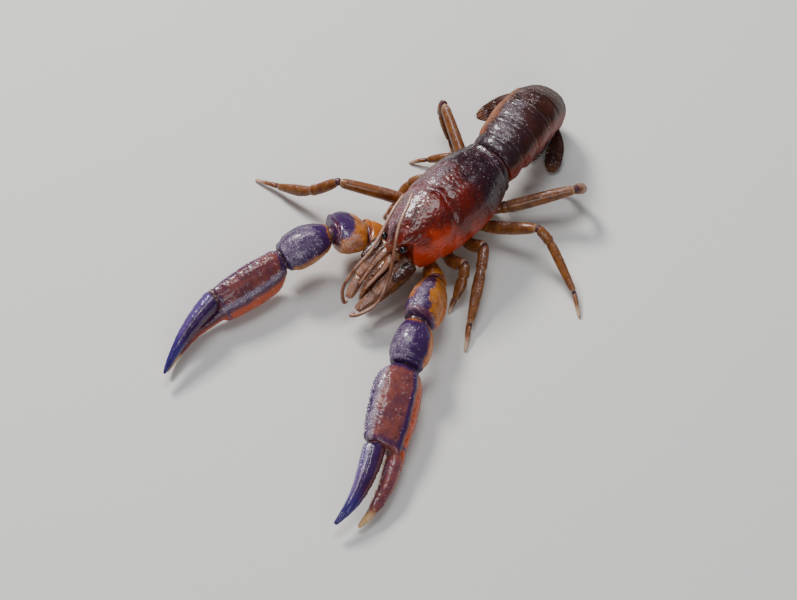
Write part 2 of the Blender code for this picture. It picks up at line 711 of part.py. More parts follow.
def build_moving_finger(side_name, material):
    """Curved moving finger, seated on the palm's end face."""
    claw = CLAWS[side_name]
    start, end = claw["joints"][3], claw["joints"][4]
    size = claw["size"]
    axis, back, outer = claw_frame(start, end, claw["leans"][3], claw["inward"])
    track = moving_finger_track(side_name)
    table = ((0.0, 1.45, 1.5), (1.2, 1.6, 1.75), (4.0, 1.5, 1.6), (8.0, 1.2, 1.25),
             (11.0, 0.9, 0.95), (13.2, 0.55, 0.6), (14.4, 0.3, 0.3))
    rings = []
    count = 19
    reach = track[-1][0]
    for i in range(count):
        run = GAP + (reach - GAP) * i / (count - 1)
        height_mid, out_mid = profile(track, run)
        thick, half_height = (v * size for v in profile(table, run * 14.4 / reach))
        tooth = TOOTH_RISE if i % 2 and 1.5 < run < reach - 2.5 else 0.0
        ring = []
        for k in range(FINGER_SIDES):
            angle = 2 * math.pi * k / FINGER_SIDES
            across, height = ellipse_point(angle, thick, half_height, 2.2)
            if k == 3 * FINGER_SIDES // 4:
                height -= tooth
            ring.append(end + axis * run + outer * (across + out_mid)
                        + back * (height + height_mid * size))
        rings.append(ring)
    height_mid, out_mid = track[-1][1:]
    tip = end + axis * (reach + 0.25) + outer * out_mid + back * height_mid * size
    return closed_mesh(f"claw_{side_name}_finger", rings, material, end_point=tip)


def build_claw(side_name, materials):
    """One great claw: base, merus, carpus, palm with fixed finger, and moving finger."""
    claw = CLAWS[side_name]
    joints, leans, inward, size = claw["joints"], claw["leans"], claw["inward"], claw["size"]
    tables = (
        ("base", ((0.0, 1.0), (0.4, 1.4), (0.75, 1.6), (1.0, 1.3))),
        ("merus", ((0.0, 1.35), (0.25, 1.9), (0.6, 2.25), (0.88, 2.3), (1.0, 1.6))),
        ("carpus", ((0.0, 1.5), (0.15, 2.2), (0.5, 2.75), (0.8, 2.7), (1.0, 1.75))),
    )
    made = []
    for index, (part, table) in enumerate(tables):
        start, end = joints[index], joints[index + 1]
        axis, back, outer = claw_frame(start, end, leans[index], inward)
        before = joints[index - 1] if index else start - Vector((inward, 0, 0))
        first = joint_plane(before, start, end) if index else Vector((inward, 0, 0))
        last = joint_plane(start, end, joints[index + 2])
        bow = 0.35 if index else 0.0
        middle = start.lerp(end, 0.5) + outer * bow
        heights = claw["arm_heights"][part]
        wide = size * claw["arm_width"]
        sized = [(t, w * wide, h * size) for (t, w), h in zip(table, heights)]
        made.append(sweep(f"claw_{side_name}_{part}", (start, middle, end), sized, back,
                          materials["claw"], sides=12, rings=11, power=2.3,
                          start_plane=first, end_plane=last, reach=0.25))
    made.append(build_palm(side_name, materials["claw"]))
    made.append(build_moving_finger(side_name, materials["finger"]))
    return made


# Walking legs: root, bend below the shell, knee, wrist, ankle and tip
LEGS = {
    "left": (
        (Vector((3.2, -3.3, 3.7)), Vector((5.6, -4.3, 4.0)), Vector((8.2, -3.9, 5.2)),
         Vector((9.4, -5.6, 4.2)), Vector((10.3, -8.4, 1.7)), Vector((10.6, -10.3, 0.25))),
        (Vector((3.2, 0.6, 3.7)), Vector((5.8, 0.4, 4.0)), Vector((8.5, 0.6, 6.0)),
         Vector((10.9, -2.9, 4.7)), Vector((15.4, -10.3, 1.6)), Vector((17.7, -13.9, 0.25))),
        (Vector((3.2, 4.3, 3.7)), Vector((6.2, 5.6, 4.1)), Vector((13.0, 8.9, 7.0)),
         Vector((15.9, 9.0, 5.2)), Vector((23.7, 6.3, 1.6)), Vector((27.0, 4.0, 0.25))),
        (Vector((3.0, 8.0, 3.9)), Vector((5.6, 10.9, 4.4)), Vector((12.2, 19.3, 7.0)),
         Vector((12.0, 21.2, 5.0)), Vector((9.6, 21.3, 1.8)), Vector((8.3, 20.4, 0.25))),
    ),
    "right": (
        (Vector((-3.2, -2.6, 3.7)), Vector((-7.4, -0.9, 4.8)), Vector((-17.4, -7.7, 8.0)),
         Vector((-21.5, -10.7, 4.4)), Vector((-27.4, -12.3, 1.6)), Vector((-31.8, -13.3, 0.25))),
        (Vector((-3.2, 0.6, 3.7)), Vector((-5.6, 1.6, 4.1)), Vector((-8.4, 3.7, 6.0)),
         Vector((-9.9, 1.9, 4.6)), Vector((-10.2, -1.4, 1.6)), Vector((-10.6, -3.8, 0.25))),
        (Vector((-3.2, 4.6, 3.7)), Vector((-5.6, 6.6, 3.4)), Vector((-8.4, 11.4, 3.6)),
         Vector((-9.9, 11.3, 3.0)), Vector((-12.8, 9.4, 1.5)), Vector((-15.2, 7.5, 0.25))),
        (Vector((-3.0, 8.0, 3.9)), Vector((-5.4, 10.9, 5.0)), Vector((-15.6, 16.4, 8.0)),
         Vector((-15.5, 16.1, 5.2)), Vector((-12.6, 14.9, 1.8)), Vector((-11.2, 14.1, 0.25))),
    ),
}


def build_leg(side_name, index, points, material):
    """One walking leg in three parts: thigh, shank with a bent wrist, and pointed tip."""
    root, bend, knee, wrist, ankle, tip = points
    up = Vector((0, 0, 1))
    outward = Vector((1.0 if side_name == "left" else -1.0, 0, 0))
    knee_plane = joint_plane(bend, knee, wrist)
    ankle_plane = joint_plane(wrist, ankle, tip)
    pincer = index < 2
    name = f"leg_{side_name}_{index + 1}"
    thigh_up = up if abs((knee - bend).normalized().dot(up)) < 0.9 else outward
    made = [
        sweep(f"{name}_thigh", (root, bend, knee),
              ((0.0, 0.95, 0.95), (0.25, 0.95, 1.0), (0.5, 1.05, 1.25), (0.85, 0.95, 1.15),
               (1.0, 0.75, 0.8)),
              thigh_up, material, rings=8, start_plane=outward, end_plane=knee_plane,
              reach=0.25),
        sweep(f"{name}_shank", (knee, wrist, ankle),
              ((0.0, 0.7, 0.75), (0.15, 0.85, 0.95), (0.4, 0.85, 0.95), (0.5, 0.7, 0.8),
               (0.65, 0.8, 1.05 if pincer else 0.8), (1.0, 0.45, 0.5)),
              outward, material, rings=9, start_plane=knee_plane, end_plane=ankle_plane,
              reach=0.22),
        sweep(f"{name}_tip", (ankle, ankle.lerp(tip, 0.5) + up * 0.1, tip),
              ((0.0, 0.4, 0.43), (0.4, 0.36, 0.38), (1.0, 0.26, 0.25)),
              outward, material, sides=6, rings=5, start_plane=ankle_plane, free_tip=True),
    ]
    return made


def centre_on_floor(objects):
    """Move every part so that the origin is under the middle of the model, on the floor."""
    corners = [v.co for item in objects for v in item.data.vertices]
    low = Vector(min(c[k] for c in corners) for k in range(3))
    high = Vector(max(c[k] for c in corners) for k in range(3))
    shift = Vector((-(low.x + high.x) / 2, -(low.y + high.y) / 2, -low.z))
    for item in objects:
        for vert in item.data.vertices:
            vert.co += shift
    return shift


def main():
    """Build every part of the animal."""
    reset_scene()
    materials = {
        "shell": make_material("shell", (0.20, 0.035, 0.02), 0.3),
        "tail": make_material("tail_shell", (0.13, 0.035, 0.03), 0.32),
        "fan": make_material("fan_shell", (0.35, 0.13, 0.04), 0.35),
        "belly": make_material("belly_shell", (0.55, 0.28, 0.09), 0.45),
        "claw": make_material("claw_shell", (0.30, 0.08, 0.12), 0.3),
        "finger": make_material("finger_shell", (0.08, 0.04, 0.22), 0.28),
        "limb": make_material("limb_shell", (0.42, 0.16, 0.05), 0.35),
        "feeler": make_material("feeler_shell", (0.45, 0.25, 0.17), 0.4),
        "eye": make_material("eye_cornea", (0.01, 0.01, 0.012), 0.08),
    }
    made = [build_carapace(materials["shell"]), build_sternum(materials["belly"])]
    made += build_abdomen(materials["tail"])
    made += build_tail_fan(materials["fan"])
    for side_name, sign in (("left", 1.0), ("right", -1.0)):
        made.append(build_eye(side_name, sign, materials["eye"]))
        made += build_head_parts(side_name, materials)
        made += build_claw(side_name, materials)
        for index, points in enumerate(LEGS[side_name]):
            made += build_leg(side_name, index, points, materials["limb"])
    centre_on_floor(made)


main()
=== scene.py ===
"""A burrowing crayfish, life size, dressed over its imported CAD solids.

Sizes are in millimetres of the body frame: the head faces -Y, the animal's left is
+X and +Z is up. BodySpace turns them into the row frame's metres. Every shell is a
finer, sculpted copy of the CAD node that it replaces, and what the solids leave
out, such as joint membranes, bristles, mouthparts and pleopods, is modelled here.
"""

import logging
import math
from dataclasses import dataclass, field
from enum import Enum
from typing import Callable, Sequence

import bmesh
import bpy
import numpy as np
from mathutils import Matrix, Vector, noise


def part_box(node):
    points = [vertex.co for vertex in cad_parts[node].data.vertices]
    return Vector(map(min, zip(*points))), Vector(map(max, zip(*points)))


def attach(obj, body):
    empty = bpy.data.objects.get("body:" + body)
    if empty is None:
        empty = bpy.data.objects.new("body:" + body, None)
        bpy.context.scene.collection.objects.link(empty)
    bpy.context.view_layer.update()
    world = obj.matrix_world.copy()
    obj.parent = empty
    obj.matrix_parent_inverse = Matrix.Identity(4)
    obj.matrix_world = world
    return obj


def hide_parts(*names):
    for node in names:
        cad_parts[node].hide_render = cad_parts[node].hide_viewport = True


Colour = tuple[float, float, float]
Point = tuple[float, float, float]

LOG = logging.getLogger("crayfish")
# Metres in a millimetre, and the y of the carapace's rear edge in body millimetres
MM = 0.001
CARAPACE_REAR = 11.2
UP = np.array((0.0, 0.0, 1.0))
# Ways that the yellow face of the left merus and the purple face of the right one look
YELLOW_WAY = np.array((-0.72, -0.69, 0.0))
PURPLE_WAY = np.array((-0.58, 0.61, 0.54))
# Gap under which vertices of a CAD copy are merged, and the bends within a new quad
MERGE_GAP = 2e-6
QUAD_BEND = math.radians(70)
QUAD_SKEW = math.radians(80)
# Steps along a curve that a rod is laid on
ROD_STEPS = 400
# How strongly the water on a shell and the shell itself bend light
WATER_IOR = 1.33
SHELL_IOR = 1.45

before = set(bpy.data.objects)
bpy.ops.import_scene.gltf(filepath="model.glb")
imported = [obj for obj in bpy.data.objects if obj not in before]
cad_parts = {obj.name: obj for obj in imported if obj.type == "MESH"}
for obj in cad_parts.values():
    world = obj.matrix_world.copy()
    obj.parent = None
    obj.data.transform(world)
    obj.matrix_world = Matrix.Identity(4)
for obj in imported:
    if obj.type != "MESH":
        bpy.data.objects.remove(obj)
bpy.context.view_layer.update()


# Small sums used by every part


def paint(red: int, green: int, blue: int) -> Colour:
    """Turn a screen colour, 0 to 255, into the linear colour that a shader reads.

    Args:
        red: Red, 0 to 255.
        green: Green, 0 to 255.
        blue: Blue, 0 to 255.

    Returns:
        The linear colour.
    """
    def linear(value: int) -> float:
        """Linear share of one channel."""
        share = value / 255
        return share / 12.92 if share <= 0.04045 else ((share + 0.055) / 1.055) ** 2.4

    return linear(red), linear(green), linear(blue)


def ramp(low: float, high: float, values: np.ndarray) -> np.ndarray:
    """Smooth step from 0 at low to 1 at high."""
    share = np.clip((values - low) / (high - low), 0.0, 1.0)
    return share * share * (3 - 2 * share)


def crease(distance: np.ndarray, width: float) -> np.ndarray:
    """Bell that is 1 on a line and fades over a width."""
    return np.exp(-((distance / width) ** 2))


def unit(vector: Sequence[float]) -> np.ndarray:
    """Vector of length one."""
    array = np.asarray(vector, float)
    return array / max(float(np.linalg.norm(array)), 1e-9)


def clouds(places: np.ndarray, size: float, seed: float, octaves: int = 3) -> np.ndarray:
    """Soft noise from about -1 to 1 at places in millimetres.

    Args:
        places: Rows of x, y, z.
        size: Size of a patch, in millimetres.
        seed: Shifts the pattern.
        octaves: Number of finer layers.

    Returns:
        One value for each row.
    """
    scaled = places / size + seed
    return np.array([noise.fractal(Vector(p), 0.9, 2.1, octaves) for p in scaled])


def pits(places: np.ndarray, spacing: float, seed: float) -> np.ndarray:
    """Share from 0 to 1 of a small round pit at each place."""
    scaled = places / spacing + seed
    gaps = np.array([noise.voronoi(Vector(p))[0][0] for p in scaled])
    return np.exp(-((gaps / 0.24) ** 2))


def curve_points(points: Sequence[Point], count: int) -> np.ndarray:
    """Points along a smooth curve through given points, evenly spread by their order."""
    table = np.asarray(points, float)
    if len(table) == 2:
        share = np.linspace(0, 1, count)[:, None]
        return table[0] * (1 - share) + table[1] * share
    padded = np.vstack((2 * table[0] - table[1], table, 2 * table[-1] - table[-2]))
    places = np.linspace(0, len(table) - 1, count)
    index = np.minimum(places.astype(int), len(table) - 2)
    u = (places - index)[:, None]
    p0, p1, p2, p3 = (padded[index + k] for k in range(4))
    return 0.5 * (
        2 * p1 + (p2 - p0) * u + (2 * p0 - 5 * p1 + 4 * p2 - p3) * u ** 2
        + (3 * p1 - p0 - 3 * p2 + p3) * u ** 3
    )


def across_share(share: np.ndarray, reach: np.ndarray) -> np.ndarray:
    """How far across a long form each place lies, from 0 on one edge to 1 on the other.

    Args:
        share: Share of the form's run at each place.
        reach: Distance of each place to the side.

    Returns:
        The share of the local width.
    """
    steps = np.linspace(share.min(), share.max(), 25)
    near = [reach[np.abs(share - step) <= steps[1] - steps[0]] for step in steps]
    low = np.interp(share, steps, [part.min() for part in near])
    high = np.interp(share, steps, [part.max() for part in near])
    return (reach - low) / np.maximum(high - low, 0.01)


def nearest_share(places: np.ndarray, line: np.ndarray) -> np.ndarray:
    """Share of a line's run, 0 to 1, that lies nearest to each place."""
    gaps = np.linalg.norm(places[:, None, :] - line[None, :, :], axis=2)
    return gaps.argmin(axis=1) / (len(line) - 1)


@dataclass(frozen=True)
class BodySpace:
    """Where the body frame's origin lies in the row frame, in millimetres."""

    shift: tuple[float, float, float]

    @classmethod
    def from_carapace(cls) -> "BodySpace":
        """Read the place from the carapace, whose rear edge and widest line are known."""
        low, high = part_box("carapace")
        across = (low.x + high.x) / 2 / MM
        return cls((across, high.y / MM - CARAPACE_REAR, 0.0))

    def to_body(self, metres: np.ndarray) -> np.ndarray:
        """Row frame metres to body millimetres."""
        return metres / MM - np.array(self.shift)

    def to_row(self, millimetres: np.ndarray) -> np.ndarray:
        """Body millimetres to row frame metres."""
        return (millimetres + np.array(self.shift)) * MM


SPACE = BodySpace.from_carapace()


# Node sheets for the materials


class Sheet:
    """Short hand for building a node tree."""

    def __init__(self, tree: bpy.types.NodeTree) -> None:
        """Start on an empty or new tree."""
        self.tree = tree

    def add(self, kind: str, **settings: object) -> bpy.types.Node:
        """Add a node and set its properties, or its inputs by place with _0, _1 and so on.

        Args:
            kind: The node's type, without the ShaderNode that it starts with.
            settings: Property values, and input values named _0, _1 and so on.

        Returns:
            The node.
        """
        node = self.tree.nodes.new(f"ShaderNode{kind}")
        for key, value in settings.items():
            if key.startswith("_"):
                self.feed(node.inputs[int(key[1:])], value)
            else:
                setattr(node, key, value)
        return node

    def feed(self, socket: bpy.types.NodeSocket, value: object) -> None:
        """Link a socket to an output, or set its own value."""
        if isinstance(value, bpy.types.NodeSocket):
            self.tree.links.new(value, socket)
        elif isinstance(value, tuple) and len(value) == 3 and socket.type == "RGBA":
            socket.default_value = (*value, 1.0)
        else:
            socket.default_value = value

    def sum(self, operation: str, first: object, second: object = 0.0,
            third: object = 0.0) -> bpy.types.NodeSocket:
        """One step of arithmetic on one, two or three values."""
        node = self.add("Math", operation=operation, _0=first, _1=second, _2=third)
        return node.outputs[0]

    def step(self, value: object, low: float, high: float) -> bpy.types.NodeSocket:
        """Smooth step of a value from 0 at low to 1 at high."""
        node = self.add("MapRange", interpolation_type="SMOOTHSTEP", _0=value, _1=low, _2=high)
        return node.outputs[0]

    def blend(self, share: object, first: object, second: object) -> bpy.types.NodeSocket:
        """Mix of two colours."""
        node = self.add("Mix", data_type="RGBA")
        self.feed(node.inputs[0], share)
        self.feed(node.inputs[6], first)
        self.feed(node.inputs[7], second)
        return node.outputs[2]

    def grain(self, place: object, size: float, detail: float = 2.0,
              rough: float = 0.5) -> bpy.types.NodeSocket:
        """Noise whose patches are size millimetres across."""
        node = self.add("TexNoise")
        self.feed(node.inputs["Vector"], place)
        node.inputs["Scale"].default_value = 1.0 / size
        node.inputs["Detail"].default_value = detail
        node.inputs["Roughness"].default_value = rough
        return node.outputs[0]

    def group(self, tree: bpy.types.NodeTree, place: object) -> bpy.types.Node:
        """Place a node group and feed it the place in millimetres."""
        node = self.add("Group", node_tree=tree)
        self.feed(node.inputs["Place"], place)
        return node

    def cells(self, place: object, density: float) -> bpy.types.Node:
        """Cells of which so many lie along a millimetre."""
        node = self.add("TexVoronoi", feature="F1")
        self.feed(node.inputs["Vector"], place)
        node.inputs["Scale"].default_value = density
        return node

    def mask(self, name: str) -> bpy.types.NodeSocket:
        """A mask that the mesh carries as an attribute."""
        return self.add("Attribute", attribute_name=name).outputs["Fac"]


def new_group(name: str, inputs: Sequence[tuple[str, str, float]],
              outputs: Sequence[str]) -> tuple[bpy.types.NodeTree, Sheet, object, object]:
    """Start a shader node group with named sockets.

    Args:
        name: The group's name.
        inputs: Name, socket type and first value of each input.
        outputs: Name of each output, all plain numbers.

    Returns:
        The tree, a sheet on it, and its input and output nodes.
    """
    tree = bpy.data.node_groups.new(name, "ShaderNodeTree")
    for label, kind, value in inputs:
        socket = tree.interface.new_socket(label, in_out="INPUT", socket_type=kind)
        if kind == "NodeSocketFloat":
            socket.default_value = value
    for label in outputs:
        tree.interface.new_socket(label, in_out="OUTPUT", socket_type="NodeSocketFloat")
    sheet = Sheet(tree)
    source = tree.nodes.new("NodeGroupInput")
    target = tree.nodes.new("NodeGroupOutput")
    return tree, sheet, source, target


def make_mottle_group() -> bpy.types.NodeTree:
    """Group that gives cloudy patches and fine freckles of shell pigment."""
    tree, sheet, source, target = new_group(
        "shell_mottle",
        (("Place", "NodeSocketVector", 0.0), ("Patch Size", "NodeSocketFloat", 2.0),
         ("Fleck Share", "NodeSocketFloat", 0.3)),
        ("Patches", "Flecks", "Freckles"),
    )
    scale = sheet.sum("DIVIDE", 1.0, source.outputs["Patch Size"])
    wide = sheet.add("TexNoise")
    sheet.feed(wide.inputs["Vector"], source.outputs["Place"])
    sheet.feed(wide.inputs["Scale"], scale)
    wide.inputs["Detail"].default_value = 4.0
    wide.inputs["Roughness"].default_value = 0.6
    sheet.feed(target.inputs["Patches"], sheet.step(wide.outputs[0], 0.36, 0.66))
    cells = sheet.cells(source.outputs["Place"], 1.9)
    near = sheet.step(cells.outputs["Distance"], 0.34, 0.16)
    pick = sheet.add("SeparateColor", _0=cells.outputs["Color"]).outputs[0]
    chosen = sheet.sum("LESS_THAN", pick, source.outputs["Fleck Share"])
    sheet.feed(target.inputs["Flecks"], sheet.sum("MULTIPLY", near, chosen))
    fine = sheet.grain(source.outputs["Place"], 0.28, 3.0, 0.7)
    sheet.feed(target.inputs["Freckles"], sheet.step(fine, 0.44, 0.64))
    return tree


def make_painted_sheen_group() -> bpy.types.NodeTree:
    """Group that turns a mask into painted highlight: a thin pale painted sheen and the bright
    painted glints lying on it.
    """
    tree, sheet, source, target = new_group(
        "dry_film",
        (("Place", "NodeSocketVector", 0.0), ("Cover", "NodeSocketFloat", 0.0)),
        ("Haze", "Grains"),
    )
    place, cover = source.outputs["Place"], source.outputs["Cover"]
    broad = sheet.grain(place, 1.1, 4.0, 0.65)
    ragged = sheet.sum("MULTIPLY_ADD", cover, 0.62, broad)
    sheet.feed(target.inputs["Haze"], sheet.step(ragged, 0.62, 1.15))
    total = None
    for scale, reach in ((3.4, 0.3), (6.2, 0.34)):
        cells = sheet.cells(place, scale)
        near = sheet.step(cells.outputs["Distance"], reach, reach * 0.55)
        chance = sheet.add("SeparateColor", _0=cells.outputs["Color"]).outputs[0]
        share = sheet.sum("MULTIPLY_ADD", ragged, 1.1, -0.66)
        grains = sheet.sum("MULTIPLY", near, sheet.sum("LESS_THAN", chance, share))
        total = grains if total is None else sheet.sum("MAXIMUM", total, grains)
    sheet.feed(target.inputs["Grains"], total)
    return tree


def make_relief_group() -> bpy.types.NodeTree:
    """Group that gives the fine height of shell: soft dimples, pores and scratches."""
    tree, sheet, source, target = new_group(
        "shell_relief",
        (("Place", "NodeSocketVector", 0.0), ("Pore Depth", "NodeSocketFloat", 0.5)),
        ("Height",),
    )
    place = source.outputs["Place"]
    dimples = sheet.grain(place, 0.55, 2.0, 0.5)
    fine = sheet.grain(place, 0.2, 4.0, 0.7)
    pore = sheet.step(sheet.cells(place, 2.6).outputs["Distance"], 0.2, 0.04)
    height = sheet.sum("ADD", sheet.sum("MULTIPLY", dimples, 0.6),
                       sheet.sum("MULTIPLY", fine, 0.8))
    sunk = sheet.sum("MULTIPLY", pore, source.outputs["Pore Depth"])
    sheet.feed(target.inputs["Height"], sheet.sum("SUBTRACT", height, sunk))
    return tree


@dataclass(frozen=True)
class Effects:
    """The node groups that every finish places in its own material."""

    mottle: bpy.types.NodeTree = field(default_factory=make_mottle_group)
    # Paints a pale sheen and bright glints as highlight on the wet shell
    film: bpy.types.NodeTree = field(default_factory=make_painted_sheen_group)
    relief: bpy.types.NodeTree = field(default_factory=make_relief_group)


EFFECTS = Effects()
WORN: dict[str, bpy.types.Material] = {}


@dataclass(frozen=True)
class ShellFinish:
    """A wet, pigmented shell whose colours follow the masks that its mesh carries.

    ridge, under and tip colour the places that those masks pick, film paints a highlight
    of pale sheen with bright glints that stands in for light on the wet shell, and flecks
    are the small dark spots. The heights, the reach and the patch size are in millimetres.
    """

    name: str
    body: Colour
    cloud: Colour
    ridge: Colour
    under: Colour
    tip: Colour
    # Painted highlight: tint of a pale painted sheen, colour of bright painted glints, and how
    # strong the sheen is
    film: Colour = paint(176, 160, 176)
    grains: Colour = paint(232, 224, 230)
    haze: float = 0.16
    fleck: Colour = paint(30, 16, 14)
    patch_size: float = 2.2
    fleck_share: float = 0.2
    roughness: float = 0.3
    coat: float = 0.7
    relief: float = 0.25
    depth: float = 0.08
    freckle_strength: float = 0.3
    fleck_strength: float = 0.7
    glint_strength: float = 0.82
    glint_height: float = 1.1
    relief_height: float = 0.1
    freckle_dulling: float = 0.12
    slope_dulling: float = 0.4
    haze_dulling: float = 0.16
    slope_drying: float = 0.85
    coat_roughness: float = 0.1
    specular: float = 0.22
    scatter: Colour = (1.0, 0.4, 0.2)
    scatter_reach: float = 0.6

    def material(self) -> bpy.types.Material:
        """The material, made once and then shared by every piece that wears it."""
        if self.name in WORN:
            return WORN[self.name]
        made = bpy.data.materials.new(self.name)
        WORN[self.name] = made
        made.use_nodes = True
        sheet = Sheet(made.node_tree)
        shader = made.node_tree.nodes["Principled BSDF"]
        scaled = sheet.add("VectorMath", operation="SCALE")
        sheet.feed(scaled.inputs[0], sheet.add("TexCoord").outputs["Object"])
        scaled.inputs["Scale"].default_value = 1.0 / MM
        place = scaled.outputs[0]
        mottle = sheet.group(EFFECTS.mottle, place)
        mottle.inputs["Patch Size"].default_value = self.patch_size
        mottle.inputs["Fleck Share"].default_value = self.fleck_share
        # Painted highlight: the mask picks where a pale painted sheen and bright painted glints lie
        film = sheet.group(EFFECTS.film, place)
        sheet.feed(film.inputs["Cover"], sheet.mask("film"))
        sheet.feed(shader.inputs["Base Color"], self.colour(sheet, mottle, film))
        self.wet(sheet, shader, mottle, film)
        relief = sheet.group(EFFECTS.relief, place)
        # The painted glints are raised a little in the bump as well
        bump_height = sheet.sum("MULTIPLY_ADD", film.outputs["Grains"], self.glint_height,
                          relief.outputs[0])
        bump = sheet.add("Bump")
        bump.inputs["Strength"].default_value = self.relief
        bump.inputs["Distance"].default_value = self.relief_height * MM
        sheet.feed(bump.inputs["Height"], bump_height)
        sheet.feed(shader.inputs["Normal"], bump.outputs[0])
        shader.inputs["Coat Roughness"].default_value = self.coat_roughness
        shader.inputs["Coat IOR"].default_value = WATER_IOR
        shader.inputs["IOR"].default_value = SHELL_IOR
        shader.inputs["Specular IOR Level"].default_value = self.specular
        shader.inputs["Subsurface Weight"].default_value = self.depth
        shader.inputs["Subsurface Radius"].default_value = self.scatter
        shader.inputs["Subsurface Scale"].default_value = self.scatter_reach * MM
        return made

    def colour(self, sheet: Sheet, mottle: bpy.types.Node,
               film: bpy.types.Node) -> bpy.types.NodeSocket:
        """Pigment, then what the masks pick, then flecks, and a painted highlight of pale sheen and
        bright glints over all.

        Args:
            sheet: Sheet of the material.
            mottle: The mottle group.
            film: The group that paints the sheen and glints.

        Returns:
            The colour.
        """
        freckles = mottle.outputs["Freckles"]
        ragged = sheet.sum("MULTIPLY_ADD", freckles, 0.3, -0.15)
        colour = sheet.blend(mottle.outputs["Patches"], self.body, self.cloud)
        for name, tint in (("under", self.under), ("ridge", self.ridge), ("tip", self.tip)):
            edge = sheet.sum("ADD", sheet.mask(name), ragged)
            colour = sheet.blend(sheet.step(edge, 0.1, 0.9), colour, tint)
        # The last two layers are painted highlight: a pale painted sheen and bright painted glints
        for cover, strength, tint in (
            (freckles, self.freckle_strength, self.fleck),
            (mottle.outputs["Flecks"], self.fleck_strength, self.fleck),
            (film.outputs["Haze"], self.haze, self.film),
            (film.outputs["Grains"], self.glint_strength, self.grains),
        ):
            colour = sheet.blend(sheet.sum("MULTIPLY", cover, strength), colour, tint)
        return colour

    def wet(self, sheet: Sheet, shader: bpy.types.Node, mottle: bpy.types.Node,
            film: bpy.types.Node) -> None:
        """Roughness and water coat, both duller where the shell is seen at a slope.

        Args:
            sheet: Sheet of the material.
            shader: Its surface shader.
            mottle: The mottle group.
            film: The group that paints the sheen and glints.
        """
        slope = sheet.step(sheet.add("LayerWeight").outputs["Facing"], 0.5, 0.95)
        dull = self.roughness
        for cover, strength in ((mottle.outputs["Freckles"], self.freckle_dulling),
                                (slope, self.slope_dulling),
                                (film.outputs["Haze"], self.haze_dulling)):
            dull = sheet.sum("MULTIPLY_ADD", cover, strength, dull)
        sheet.feed(shader.inputs["Roughness"], dull)
        water = sheet.sum("MULTIPLY_ADD", slope, -self.slope_drying, 1.0)
        sheet.feed(shader.inputs["Coat Weight"], sheet.sum("MULTIPLY", water, self.coat))


